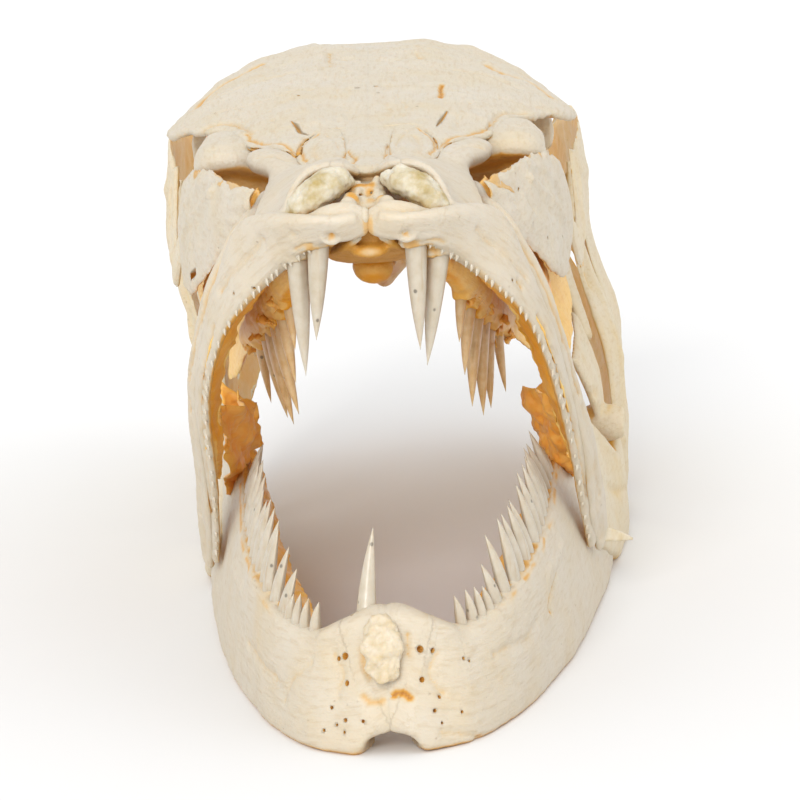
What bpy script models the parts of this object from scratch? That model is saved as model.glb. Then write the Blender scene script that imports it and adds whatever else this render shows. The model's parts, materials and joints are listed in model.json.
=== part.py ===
# Skull of a great barracuda with its jaws agape, resting on its lower jaw.
# The skull looks along -Y and +Z is up. Sizes are written in millimetres,
# measured back from the chin, and become metres where a mesh is made.
# The animal's left side is at +X.

import math
import random

import bmesh
import bpy
import numpy as np
from mathutils import Vector

MM = 0.001
SEAM = 0.3            # gap left between bones that touch
ORIGIN = (-3.0, 114.55, 0.0)  # on the floor under the middle of the whole skull
SIDES = {"left": 1, "right": -1}

# Driving dimensions
UPPER_JAW_SETBACK = 17.5     # the snout stands this far behind the chin
JAW_JOINT = (33.0, 131.0, 20.0)
FORAMEN = (0.0, 66.5, 3.1)   # the spinal cord's hole in the back of the braincase: x, z, radius
SHEET = 1.1                  # thickness of the thin cheek and gill bones
ROOF_THICK = 2.1
ALVEOLAR_TEETH = 34          # small teeth along each upper jaw
LOWER_TEETH = 15             # cutting teeth along each side of the lower jaw
LOWER_FRONT_TEETH = 4        # small ones in front of them

# The dried cranium has settled askew on the jaws: its rear leans to the animal's right.
# Above SKEW_TOP it moves sideways by this share of its distance behind the snout.
SKEW = 0.034
SKEW_FOOT, SKEW_TOP = 26.0, 50.0

# The roof's middle line, how far its edges drop below that, and its half width
ROOF_LINE = ((20, 78.4), (60, 78.7), (85, 79.2), (100, 80.2), (140, 82.8), (165, 83.7), (175, 83.0))
ROOF_DROP = (
    (20, 1.0), (60, 1.6), (80, 2.2), (100, 3.4), (110, 4.4),
    (120, 6.2), (141, 9.8), (152, 5.6), (165, 1.2), (175, 1.0),
)
ROOF_HALF = (
    (20, 6), (60, 12), (80, 17.5), (97, 21.6), (110, 25.5),
    (122, 31), (141, 34.5), (152, 28), (165, 19), (175, 14),
)
# The underside of the neurocranium, where the parasphenoid lies
BASE_LINE = (
    (20, 67.5), (40, 65), (60, 62), (80, 59.8), (100, 57.2), (120, 54), (140, 51), (160, 49.5), (186, 50),
)

# Bone colours: sun-bleached outside, amber where grease stays inside
COLOURS = {
    "bleached_bone": (0.78, 0.71, 0.60),
    "cream_bone": (0.74, 0.62, 0.43),
    "amber_bone": (0.60, 0.38, 0.15),
    "dried_cartilage": (0.62, 0.52, 0.33),
}


# Shape helpers

def value(table, at):
    # Smooth curve through a short table of (place, size) pairs.
    xs = np.array([row[0] for row in table], float)
    ys = np.array([row[1] for row in table], float)
    slope = np.gradient(ys, xs)
    k = int(np.clip(np.searchsorted(xs, at) - 1, 0, len(xs) - 2))
    span = xs[k + 1] - xs[k]
    f = min(max((at - xs[k]) / span, 0.0), 1.0)
    return float(
        (2 * f**3 - 3 * f**2 + 1) * ys[k]
        + (f**3 - 2 * f**2 + f) * span * slope[k]
        + (3 * f**2 - 2 * f**3) * ys[k + 1]
        + (f**3 - f**2) * span * slope[k + 1]
    )


def spline(points, count):
    # Evenly numbered points on a smooth curve through the given ones.
    pts = [np.array(p, float) for p in points]
    pts = [2 * pts[0] - pts[1], *pts, 2 * pts[-1] - pts[-2]]
    spans = len(pts) - 3
    found = []
    for i in range(count):
        s = spans * i / (count - 1)
        k = min(int(s), spans - 1)
        f = s - k
        a, b, c, d = pts[k:k + 4]
        bend, twist = 2 * a - 5 * b + 4 * c - d, 3 * b - a - 3 * c + d
        found.append(0.5 * (2 * b + (c - a) * f + bend * f**2 + twist * f**3))
    return found


def roof(x, y):
    # Height of the skull roof above the floor.
    share = min(abs(x) / value(ROOF_HALF, y), 1.15)
    height = value(ROOF_LINE, y) - value(ROOF_DROP, y) * share**3.2
    # Towards the rear a low crest runs back on each side, with a shallow hollow outside it.
    rear = min(max((y - 126) / 30, 0.0), 1.0)
    crest = math.exp(-(((abs(x) - 9.5) / 2.6) ** 2))
    hollow = math.exp(-(((abs(x) - 15.5) / 3.6) ** 2))
    return height + rear * (0.35 * crest - 0.5 * hollow)


def unit(v):
    return np.array(v, float) / np.linalg.norm(v)


def world(point):
    # Millimetres behind the chin to metres round the origin, with the cranium set askew.
    x, y, z = point
    f = min(max((z - SKEW_FOOT) / (SKEW_TOP - SKEW_FOOT), 0.0), 1.0)
    x -= SKEW * max(y - UPPER_JAW_SETBACK, 0.0) * f * f * (3 - 2 * f)
    return Vector(((x - ORIGIN[0]) * MM, (y - ORIGIN[1]) * MM, (z - ORIGIN[2]) * MM))


def new_object(name, bm):
    bmesh.ops.recalc_face_normals(bm, faces=bm.faces)
    mesh = bpy.data.meshes.new(name)
    bm.to_mesh(mesh)
    bm.free()
    made = bpy.data.objects.new(name, mesh)
    bpy.context.scene.collection.objects.link(made)
    return made


def loft(name, rings, tip=None):
    # A closed solid through rings of points, ending in a flat cap or in a tip.
    bm = bmesh.new()
    loops = [[bm.verts.new(world(p)) for p in ring] for ring in rings]
    for a, b in zip(loops, loops[1:]):
        for i in range(len(a)):
            j = (i + 1) % len(a)
            bm.faces.new((a[i], a[j], b[j], b[i]))
    bm.faces.new(loops[0][::-1])
    if tip is None:
        bm.faces.new(loops[-1])
    else:
        end = bm.verts.new(world(tip))
        for i in range(len(loops[-1])):
            bm.faces.new((loops[-1][i], loops[-1][(i + 1) % len(loops[-1])], end))
    return new_object(name, bm)


def applied(obj):
    # The object's modifiers made real.
    bpy.context.view_layer.update()
    graph = bpy.context.evaluated_depsgraph_get()
    mesh = bpy.data.meshes.new_from_object(obj.evaluated_get(graph))
    obj.modifiers.clear()
    old = obj.data
    obj.data = mesh
    bpy.data.meshes.remove(old)
    return obj


def sheet(name, rows, thick):
    # A thin curved bone: an open net of points given its thickness.
    bm = bmesh.new()
    net = [[bm.verts.new(world(p)) for p in row] for row in rows]
    for a, b in zip(net, net[1:]):
        for i in range(len(a) - 1):
            quad = (a[i], a[i + 1], b[i + 1], b[i])
            # Split alike on both faces, so that they never cross where the bone curves.
            bm.faces.new((quad[0], quad[1], quad[2]))
            bm.faces.new((quad[0], quad[2], quad[3]))
    made = new_object(name, bm)
    shell = made.modifiers.new("thickness", "SOLIDIFY")
    shell.thickness = thick * MM
    shell.offset = 0.0
    return applied(made)


def between(edge_a, edge_b, count, across, bulge=(0, 0, 0)):
    # A net of points between two smooth edges, bellied out by bulge in its middle.
    rows = []
    for a, b in zip(spline(edge_a, count), spline(edge_b, count)):
        row = []
        for i in range(across):
            f = i / (across - 1)
            row.append(a * (1 - f) + b * f + np.array(bulge, float) * 4 * f * (1 - f))
        rows.append(row)
    return rows


def mirrored(rows, side):
    return [[(side * p[0], p[1], p[2]) for p in row] for row in rows]


def oval(centre, along_u, along_v, half_u, half_v, sides):
    # A ring of points round an ellipse.
    centre, u, v = np.array(centre, float), unit(along_u), unit(along_v)
    turns = [2 * math.pi * (i + 0.5) / sides for i in range(sides)]
    return [centre + u * half_u * math.cos(t) + v * half_v * math.sin(t) for t in turns]


def rod(name, path, across, sides=8):
    # A bone of oval section along a path of (x, y, z, half width, half height).
    # The width lies along the vector across, made square to the path.
    rings = []
    for i, station in enumerate(path):
        ahead = unit(path[min(i + 1, len(path) - 1)][:3] - path[max(i - 1, 0)][:3])
        wide = unit(np.array(across, float) - ahead * np.dot(across, ahead))
        tall = np.cross(ahead, wide)
        rings.append(oval(station[:3], wide, tall, station[3], station[4], sides))
    return loft(name, rings)


def fang(root, tip, wide, thick, along, sides=6, bend=0.0):
    # A tapering tooth, wide along the jaw and thin across it, that bends towards the throat.
    root, tip = np.array(root, float), np.array(tip, float)
    axis = unit(tip - root)
    u = unit(np.array(along, float) - axis * np.dot(along, axis))
    v = np.cross(axis, u)
    length = np.linalg.norm(tip - root)
    rings = []
    for f, share in ((0.0, 1.0), (0.35, 0.86), (0.7, 0.52)):
        centre = root + (tip - root) * f + np.array((0, bend, 0)) * length * 4 * f * (1 - f)
        rings.append(oval(centre, u, v, wide / 2 * share, thick / 2 * share, sides))
    return loft("tooth", rings, tip=tip)


def spike(root, tip, wide, along):
    # The smallest teeth: four-sided points.
    root, tip = np.array(root, float), np.array(tip, float)
    axis = unit(tip - root)
    u = unit(np.array(along, float) - axis * np.dot(along, axis))
    v = np.cross(axis, u)
    return loft("tooth", [oval(root, u, v, wide / 2, wide * 0.4, 4)], tip=tip)


def largest_shell(obj):
    # Drops loose scraps and sealed hollows that joining or cutting leaves.
    bm = bmesh.new()
    bm.from_mesh(obj.data)
    left, shells = set(bm.faces), []
    while left:
        seed = left.pop()
        shell, edge = [seed], [seed]
        while edge:
            face = edge.pop()
            for near in (f for e in face.edges for f in e.link_faces if f in left):
                left.discard(near)
                shell.append(near)
                edge.append(near)
        shells.append(shell)
    shells.sort(key=lambda faces: sum(f.calc_area() for f in faces))
    for shell in shells[:-1]:
        bmesh.ops.delete(bm, geom=shell, context="FACES")
    bm.to_mesh(obj.data)
    bm.free()
    return obj


def boolean(base, others, operation, solver):
    # Joins others to base, or cuts them from it, and keeps the largest piece.
    group = bpy.data.collections.new("operands")
    for other in others:
        group.objects.link(other)
    step = base.modifiers.new("boolean", "BOOLEAN")
    step.operation = operation
    step.operand_type = "COLLECTION"
    step.collection = group
    step.solver = solver
    applied(base)
    for other in others:
        bpy.data.objects.remove(other)
    bpy.data.collections.remove(group)
    return largest_shell(base)


def fuse(base, others, solver="EXACT"):
    return boolean(base, others, "UNION", solver)


def cut(base, *cutters):
    # The exact solver leaves some of these cuts undone, so they use the manifold one.
    return boolean(base, list(cutters), "DIFFERENCE", "MANIFOLD")


def grown(obj, by):
    # A copy of a bone with its skin moved out, to cut its neighbour clear of it.
    copy = bpy.data.objects.new("cutter", obj.data.copy())
    bpy.context.scene.collection.objects.link(copy)
    bm = bmesh.new()
    bm.from_mesh(copy.data)
    bmesh.ops.triangulate(bm, faces=bm.faces)
    bm.normal_update()
    moves = [v.normal * by * MM for v in bm.verts]
    for vert, move in zip(bm.verts, moves):
        vert.co += move
    bm.to_mesh(copy.data)
    bm.free()
    return copy


def clear_of(obj, *neighbours):
    # Cuts a bone back from its neighbours, leaving the seam between them.
    for neighbour in neighbours:
        cut(obj, grown(neighbour, SEAM * 1.3))
    return obj


def paint(obj, colour):
    # Gives a bone its material.
    material = bpy.data.materials.get(colour)
    if material is None:
        material = bpy.data.materials.new(colour)
        material.use_nodes = True
        shader = material.node_tree.nodes["Principled BSDF"]
        shader.inputs["Base Color"].default_value = (*COLOURS[colour], 1.0)
        shader.inputs["Roughness"].default_value = 0.55
        shader.inputs["Metallic"].default_value = 0.0
    obj.data.materials.clear()
    obj.data.materials.append(material)
    return obj


# Neurocranium

def make_frontal(side):
    # One half of the skull roof, with a prong forward on the outside of the nasal bone.
    inner = (
        (10.7, 66), (10.7, 71), (10.2, 76), (9.2, 81), (6.6, 85.2), (0.15, 85.4),
        (0.15, 100), (0.15, 116), (0.15, 132), (0.15, 146), (0.15, 158), (0.15, 171),
    )
    outer = (
        (11.2, 66), (12.2, 71), (13.8, 76), (16.6, 81.5), (19.4, 88), (21.2, 97),
        (24.2, 108), (29.4, 119), (33.6, 131), (34.2, 142), (27.0, 154), (17.6, 167.5),
    )
    rows = []
    for a, b in zip(spline(inner, 19), spline(outer, 19)):
        row = []
        for i in range(8):
            x, y = a + (b - a) * i / 7
            x = max(x, 0.15)
            row.append((side * x, y, roof(x, y) - ROOF_THICK / 2))
        rows.append(row)
    return sheet("frontal", rows, ROOF_THICK)


def make_nasal(side):
    # A lobed plate beside the middle bone of the snout, widest and rounded at its rear.
    inner = ((5.2, 49.4), (3.7, 56), (3.3, 64), (3.5, 74), (5.0, 84.0))
    outer = ((6.4, 50.0), (8.7, 56), (9.8, 64), (9.5, 73), (6.7, 83.0))
    rows = []
    for a, b in zip(spline(inner, 9), spline(outer, 9)):
        row = []
        for i in range(5):
            f = i / 4
            x, y = a + (b - a) * f
            row.append((side * x, y, roof(x, y) - 1.4 + 1.9 * f * (1 - f)))
        rows.append(row)
    return sheet("nasal", rows, 2.0)


def make_mesethmoid():
    # The middle bone of the snout: a narrow strip on top, then the vomer's broad keel below.
    stations = (
        (20.5, 2.2, 2.8, 3.4, -3.6), (26, 2.6, 3.8, 5.6, -2.0), (36, 3.0, 5.2, 7.0, 0.0),
        (50, 2.7, 5.6, 6.0, 0.0), (66, 2.8, 5.2, 5.2, 0.0), (84.6, 2.4, 4.2, 4.2, 0.0),
    )
    rings = []
    for y, strip, waist, low_half, dip in stations:
        top, low = roof(0, y) + dip, value(BASE_LINE, y) - dip
        tall = top - low
        half = [
            (strip * 0.5, top + 0.2), (strip, top - 0.5), (strip * 1.05, top - 0.22 * tall),
            (waist, top - 0.36 * tall), (waist, top - 0.58 * tall),
            (low_half, low + 0.22 * tall), (low_half * 0.75, low),
        ]
        rings.append([(x, y, z) for x, z in half] + [(-x, y, z) for x, z in half[::-1]])
    return loft("mesethmoid", rings)


def make_lateral_ethmoid(side):
    # The wall in front of the eye socket, ending in a rounded knob that stands out past the roof's edge.
    # Each section has its distance out, its front and back, its foot, and its top in front and behind.
    stations = (
        (0.25, 87.5, 103.0, 58.7, 77.4, 78.2),
        (6.0, 87.5, 103.0, 59.5, 77.2, 78.1),
        (13.0, 87.0, 103.0, 63.4, 76.0, 77.0),
        (18.0, 85.5, 105.0, 66.2, 76.0, 76.4),
        (22.0, 84.0, 106.0, 66.8, 76.8, 77.0),
        (26.0, 85.0, 106.0, 67.2, 76.2, 76.6),
        (28.4, 89.0, 102.0, 69.2, 74.2, 74.6),
    )
    rings = []
    for x, front, back, low, top_front, top_back in stations:
        mid = (front + back) / 2
        section = [
            (front + 6, low), (back - 2.5, low), (back, low + 1.4), (back, top_back - 1.5),
            (back - 2, top_back), (mid, (top_front + top_back) / 2 + 0.3), (front + 3.2, top_front),
            (front + 0.7, top_front - 1.2), (front + 0.5, top_front - 3.4), (front + 5, top_front - 5.4),
        ]
        rings.append([(side * x, y, z) for y, z in section])
    return loft("lateral_ethmoid", rings)


def make_parasphenoid():
    # The keeled bar under the whole neurocranium.
    rings = []
    stations = (
        (46, 3.0, 1.8), (62, 3.4, 2.6), (84, 3.4, 3.2), (108, 3.2, 4.0),
        (130, 4.0, 5.6), (148, 5.0, 7.2), (162, 5.2, 6.2), (178, 4.4, 3.0),
    )
    for y, half, depth in stations:
        top = value(BASE_LINE, y) - SEAM - 0.15
        section = [(half * 0.7, top), (half, top - depth * 0.35)]
        section += [(half * 0.45, top - depth * 0.75), (0.0, top - depth)]
        rings.append([(x, y, z) for x, z in section] + [(-x, y, z) for x, z in section[-2::-1]])
    return loft("parasphenoid", rings)


def make_braincase():
    # The box behind the eyes, with its side shelves, the crest and the socket of the first vertebra.
    stations = (
        (139, 30.5, 13, 66.4, 0.0), (144, 31.0, 15, 66.2, 0.0), (152, 30.0, 16, 66.2, 0.0),
        (160, 27.5, 16, 66.4, 0.0), (167, 24.0, 14, 66.8, 0.4), (174, 18.0, 12, 66.0, 6.0),
        (179, 12.0, 9.0, 64.0, 12.0),
    )
    rings = []
    for y, half, waist, shelf, sink in stations:
        low = value(BASE_LINE, y)
        reach = value(ROOF_HALF, y)
        half_ring = []
        for f in (0.1, 0.4, 0.7, 0.9, 1.0):
            x = half * f
            # Beyond the roof's edge the side of the box falls away.
            past = max(x - reach + 1.5, 0.0)
            top = roof(min(x, reach), y) - ROOF_THICK - 0.75 - 0.9 * f - past * 0.9 - sink * (1 - 0.3 * f)
            half_ring.append((x, max(top, shelf + 1.6)))
        half_ring += [(half * 0.98, shelf), (half * 0.72, shelf), (waist, low + 8.5)]
        half_ring += [(waist * 0.5, low + 2.2), (3.2, low)]
        rings.append([(x, y, z) for x, z in half_ring] + [(-x, y, z) for x, z in half_ring[::-1]])
    box = loft("braincase", rings)
    socket_height = 56.0
    socket = []
    for y, wide, tall in ((170, 6.4, 5.9), (180, 6.2, 5.8), (186, 5.8, 5.4)):
        socket.append(np.array((0, y, socket_height, wide, tall)))
    condyle = rod("condyle", socket, (1, 0, 0), 12)
    crest_top = ((0, 166, 80.4), (0, 178, 82.0), (0, 190, 80.0))
    crest_foot = ((0, 166, 72), (0, 178, 71.6), (0, 185, 73))
    pieces = [condyle, sheet("crest", between(crest_top, crest_foot, 5, 3), 1.7)]
    for side in SIDES.values():
        # The pterotic spine points back from each corner of the roof.
        spine = ((22.0, 158, 69.8, 3.6, 2.4), (22.6, 171, 70.4, 2.6, 1.8), (22.2, 184, 70.8, 0.8, 0.7))
        pieces.append(rod("spine", [np.array((side * p[0], *p[1:])) for p in spine], (1, 0, 0), 6))
    fuse(box, pieces)
    # The vertebra's socket is a hollow cone, and the spinal cord's hole opens above it.
    cup = []
    for y, radius in ((190, 5.8), (186.2, 4.5), (181, 0.7)):
        cup.append((0, y, socket_height, radius, radius * 0.93))
    x, z, radius = FORAMEN
    hole = [(x, 192, z, radius, radius * 0.85), (x, 170, z, radius * 0.7, radius * 0.6)]
    for hollow in (cup, hole):
        cut(box, rod("hollow", [np.array(p, float) for p in hollow], (1, 0, 0), 12))
    return box


# Upper jaw

# Where the small teeth stand, from the middle of the snout to the corner of the mouth,
# each with the height and the thickness of the bone there and how far it leans back
PREMAXILLA_EDGE = (
    (0.9, 17.6, 72.6, 3.4, 3.6, 0.10),
    (4.2, 17.5, 71.6, 3.8, 5.0, 0.15),
    (8.0, 18.9, 70.9, 4.4, 5.2, 0.25),
    (11.8, 22.2, 68.2, 7.4, 4.4, 0.38),
    (15.6, 25.4, 64.9, 9.6, 3.4, 0.52),
    (19.3, 28.6, 61.0, 8.4, 2.6, 0.62),
    (23.0, 34.2, 55.2, 6.0, 2.0, 0.70),
    (25.8, 41.8, 47.0, 4.8, 1.8, 0.72),
    (27.3, 50.0, 38.4, 4.6, 1.7, 0.72),
    (28.1, 58.5, 29.4, 4.4, 1.6, 0.72),
    (28.9, 68.2, 19.5, 3.8, 1.4, 0.72),
    (30.0, 77.0, 10.6, 2.2, 1.2, 0.72),
)
# Its section as shares of the height up the bone and of the thickness outwards
PREMAXILLA_SECTION = (
    (0.0, -0.35), (0.0, 0.30), (0.35, 0.62), (0.72, 0.78),
    (1.0, 0.55), (1.0, 0.05), (0.6, -0.30), (0.25, -0.42),
)
# The shelf inside the teeth: a place along the edge, its width inwards and its depth back
PALATAL_SHELF = (
    (0.30, 1.0, 4.0), (0.42, 2.3, 5.6), (0.55, 2.8, 5.8),
    (0.68, 2.6, 4.8), (0.78, 1.9, 3.6), (0.84, 1.0, 2.4),
)
UPPER_FANGS = {  # root, tip, width, as seen on each side
    "left": (
        ((6.6, 20.6, 72.5), (6.5, 19.5, 54.6), 4.2),
        ((10.2, 23.6, 70.5), (7.4, 23.0, 51.6), 4.3),
    ),
    "right": (
        ((-7.3, 20.7, 72.8), (-8.5, 19.5, 56.7), 4.2),
        ((-10.7, 23.5, 70.6), (-10.4, 23.0, 50.9), 4.2),
    ),
}


def premaxilla_frame(station, next_station):
    # The direction of the tooth edge, the way out from the mouth and the way up the bone.
    ahead = unit(next_station[:3] - station[:3])
    lean = station[5]
    rise = unit((0.0, lean, math.sqrt(1 - lean**2)))
    rise = unit(rise - ahead * np.dot(rise, ahead))
    out = np.cross(rise, ahead)
    if out[0] < 0 and abs(out[0]) > abs(out[1]):
        out = -out
    return ahead, out, rise


def ascending_face(side):
    # The broad smooth face from the tooth edge up and back, under the front edge of the roof,
    # and the flat lobe that it ends in. Each row runs up the face, the first over the cartilage.
    front = (
        (1.6, 28.0, 80.0), (6.4, 26.4, 80.9), (9.9, 24.8, 78.6), (11.9, 23.8, 74.4),
        (14.0, 25.2, 70.6), (16.6, 28.4, 68.2), (19.2, 31.4, 65.8),
    )
    middle = (
        (2.2, 34.0, 80.4), (6.2, 34.4, 80.2), (8.8, 37.0, 78.7), (10.7, 38.6, 77.2),
        (12.8, 40.4, 75.7), (15.0, 41.6, 73.9), (17.0, 42.4, 71.9),
    )
    rear = (
        (2.8, 40.0, 79.9), (5.4, 41.6, 79.6), (7.6, 46.4, 78.6), (8.6, 52.4, 77.7),
        (10.6, 60.4, 76.6), (13.0, 63.0, 75.8), (15.4, 62.0, 74.4),
    )
    rows = []
    for a, b, c in zip(spline(front, 10), spline(middle, 10), spline(rear, 10)):
        rows.append([(side * p[0], p[1], p[2]) for p in spline((a, b, c), 5)])
    lobe = (
        (11.6, 57.0, 75.6, 2.6, 1.6), (13.2, 65.0, 75.8, 3.4, 2.4), (15.2, 72.0, 75.7, 3.8, 2.6),
        (16.8, 78.0, 75.6, 3.0, 2.2), (17.8, 81.6, 75.6, 1.5, 1.2),
    )
    return [
        sheet("face", rows, 1.3),
        rod("lobe", spline([(side * p[0], *p[1:]) for p in lobe], 7), (1, 0, 0), 9),
    ]


def palatal_shelf(side, edge):
    # A thin shelf of bone that runs inwards and back from the tooth edge.
    rows = []
    for place, wide, deep in spline(PALATAL_SHELF, 12):
        k = place * (len(edge) - 1)
        low = int(k)
        at = edge[low][:3] + (edge[low + 1][:3] - edge[low][:3]) * (k - low)
        row = []
        for f in (-0.12, 0.25, 0.6, 1.0):
            row.append((side * (at[0] + 0.25 - wide * f), at[1] + 1.0 + deep * f, at[2] + 0.7 - 0.6 * f))
        rows.append(row)
    return sheet("shelf", rows, 1.1)


def make_premaxilla(side, name):
    rings = []
    edge = spline(PREMAXILLA_EDGE, 21)
    frames = []
    for i, station in enumerate(edge):
        follow = edge[i + 1] if i + 1 < len(edge) else 2 * station - edge[i - 1]
        ahead, out, rise = premaxilla_frame(station, follow)
        if out[1] > 0 and i < 8:
            out = -out
        frames.append((station[:3], ahead, out, rise))
        tall, thick = station[3], station[4]
        # The outer face leans out as it rises.
        ring = []
        for f, o in PREMAXILLA_SECTION:
            ring.append(station[:3] + rise * tall * f + out * (thick * o + 0.12 * tall * f))
        rings.append([(side * p[0], p[1], p[2]) for p in ring])
    bone = loft("premaxilla", rings)
    # The thick rounded lip that holds the fangs.
    lip = (
        (0.95, 17.4, 74.0, 2.2, 1.4), (3.2, 17.0, 74.2, 2.9, 2.0), (6.2, 17.5, 73.8, 2.6, 2.2),
        (9.0, 19.3, 72.2, 2.2, 2.1), (11.4, 21.8, 70.2, 1.8, 1.8),
    )
    pieces = [rod("lip", spline([(side * p[0], *p[1:]) for p in lip], 8), (0, 0, 1), 9)]
    # The face's rim is a raised arch of bone over the cartilage, which comes down outside it.
    arch = (
        (1.2, 29.0, 79.5, 0.9, 0.8), (3.8, 27.0, 80.8, 1.0, 0.9), (6.4, 26.0, 81.0, 1.1, 0.9),
        (8.9, 25.0, 80.2, 1.1, 0.9), (10.6, 23.6, 78.2, 1.1, 0.9), (11.6, 22.8, 75.6, 1.1, 0.9),
        (12.0, 23.2, 72.4, 1.1, 0.9),
    )
    pieces.append(rod("arch", spline([(side * p[0], *p[1:]) for p in arch], 12), (0, 1, 0), 6))
    pieces += [palatal_shelf(side, edge), *ascending_face(side)]
    for root, tip, wide in UPPER_FANGS[name]:
        pieces.append(fang(root, tip, wide, wide * 0.8, (0, 1, 0), 8, 0.015))
    draw = random.Random(12)
    marks = spline([np.concatenate(f) for f in frames], ALVEOLAR_TEETH * 3)
    for i in range(ALVEOLAR_TEETH):
        place = 0.2 + 0.78 * i / (ALVEOLAR_TEETH - 1)
        mark = marks[int(place * (len(marks) - 1))]
        at, ahead, out, rise = mark[:3], unit(mark[3:6]), unit(mark[6:9]), unit(mark[9:12])
        long = 2.1 - 1.0 * abs(place - 0.35) + draw.uniform(-0.25, 0.25)
        root = at + rise * 1.3 + out * 0.1
        tip = at - rise * long - out * 0.25 + ahead * 0.35
        root[0], tip[0] = side * root[0], side * tip[0]
        pieces.append(spike(root, tip, 1.35, (side * ahead[0], ahead[1], ahead[2])))
    return fuse(bone, pieces)


def make_maxilla(side):
    # From its hidden head under the snout's face, down and back along the outside of the premaxilla.
    path = (
        (14.8, 66.0, 71.0, 1.6, 1.4),
        (15.4, 59.0, 71.2, 2.2, 1.8),
        (16.4, 51.0, 70.6, 2.2, 1.6),
        (18.2, 44.0, 69.4, 2.4, 1.3),
        (20.6, 39.8, 66.6, 2.5, 1.1),
        (23.9, 40.2, 61.4, 2.3, 0.9),
        (26.6, 44.6, 53.2, 2.1, 0.8),
        (28.5, 50.6, 45.0, 2.0, 0.8),
        (29.9, 58.4, 35.6, 2.2, 0.8),
        (30.6, 66.4, 27.0, 2.7, 0.8),
        (31.3, 75.6, 17.4, 3.2, 0.9),
        (31.8, 81.6, 10.6, 2.0, 0.8),
    )
    stations = spline([(side * p[0], *p[1:]) for p in path], 21)
    return rod("maxilla", stations, (side * 0.35, 0.72, 0.62), 8)


def make_palatine(side):
    # The toothed bar of the palate, with its tall fangs in a short row.
    path = (
        (9.8, 30.0, 66.4, 2.0, 2.2),
        (13.0, 41.0, 62.4, 2.2, 3.0),
        (15.4, 51.0, 58.6, 2.2, 3.6),
        (17.2, 61.0, 54.8, 2.1, 3.8),
        (19.0, 71.0, 50.6, 1.9, 3.2),
        (20.8, 80.0, 47.0, 1.5, 2.4),
    )
    bone = rod("palatine", spline([(side * p[0], *p[1:]) for p in path], 11), (side, 0, 0), 8)
    fangs = (
        ((13.2, 43.5, 60.5), (12.4, 44.0, 51.0), 1.9),
        ((14.4, 49.0, 57.6), (12.9, 50.0, 44.8), 2.3),
        ((15.6, 54.5, 55.8), (13.4, 56.5, 38.6), 2.6),
        ((16.5, 59.5, 53.6), (14.8, 62.0, 36.0), 2.6),
        ((17.4, 64.5, 51.8), (16.0, 67.5, 36.0), 2.4),
        ((18.7, 70.5, 49.6), (18.6, 73.0, 37.4), 1.8),
    )
    teeth = [
        fang((side * r[0], *r[1:]), (side * t[0], *t[1:]), wide, wide * 0.8, (0, 1, 0), 6, 0.0)
        for r, t, wide in fangs
    ]
    return fuse(bone, teeth)


# Cheek and gill cover

def make_lachrymal(side):
    # The plate on the side of the snout, in front of and under the eye.
    upper = ((17.2, 48, 75.0), (21.2, 58, 75.3), (25.2, 75, 74.9), (28.6, 92, 72.4), (30.2, 104, 69.4))
    lower = (
        (17.4, 48, 70.8), (20.6, 52.5, 66.0), (24.2, 60, 62.0),
        (28.2, 71, 56.2), (30.2, 88, 53.4), (31.6, 104, 56.6),
    )
    rows = between(upper, lower, 11, 5, (0.8, 0, 0))
    return sheet("lachrymal", mirrored(rows, side), SHEET)


def make_infraorbital(side):
    # The rim of bone under and behind the eye.
    orbit = ((30.8, 104.7, 64.0), (32.4, 113, 57.6), (33.6, 124, 56.2), (33.9, 134, 60.0), (33.6, 139, 66.8))
    cheek = ((31.8, 104.7, 57.0), (33.4, 115, 50.4), (34.6, 128, 48.4), (35.2, 141, 53.6), (34.4, 146.5, 65.0))
    rows = between(orbit, cheek, 11, 4, (0.5, 0, 0))
    return sheet("infraorbital", mirrored(rows, side), SHEET)


def make_pterygoid(side):
    # The thin wall between palatine and quadrate that roofs the mouth's side.
    lower = ((21.0, 80.6, 45.0), (23.2, 92, 40.6), (25.8, 104, 36.2), (28.5, 115.9, 33.2))
    upper = ((14.6, 80.6, 54.0), (13.6, 92, 53.6), (14.0, 106, 52.0), (18.0, 119.6, 50.2))
    rows = between(lower, upper, 10, 6, (1.4, 0, 0.8))
    return sheet("pterygoid", mirrored(rows, side), SHEET)


def make_quadrate(side):
    # The fan of bone that carries the lower jaw on its knuckle.
    front = ((32.0, 128.5, 21.0), (30.6, 121, 28), (29.2, 116.5, 34.0))
    back = ((33.0, 134.0, 21.0), (32.2, 138, 30), (30.8, 138.5, 38.5))
    rows = between(front, back, 7, 5, (0.4, 0, 0))
    fan = sheet("quadrate", mirrored(rows, side), 1.8)
    x, y, z = JAW_JOINT
    knuckle = []
    for out, wide, tall in ((-4.2, 2.6, 2.4), (-1.5, 3.5, 3.3), (1.5, 3.5, 3.3), (4.0, 2.7, 2.5)):
        knuckle.append(np.array((side * (x + out), y, z, wide, tall)))
    return fuse(fan, [rod("knuckle", knuckle, (0, 1, 0), 10)])


def make_metapterygoid(side):
    low = ((29.2, 117.6, 35.0), (30.2, 127, 37.3), (31.0, 138.2, 39.9))
    high = ((20.4, 121.0, 50.6), (24.6, 129, 53.4), (28.6, 137.9, 55.0))
    rows = between(low, high, 7, 5, (1.2, 0, 0.6))
    return sheet("metapterygoid", mirrored(rows, side), SHEET)


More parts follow.
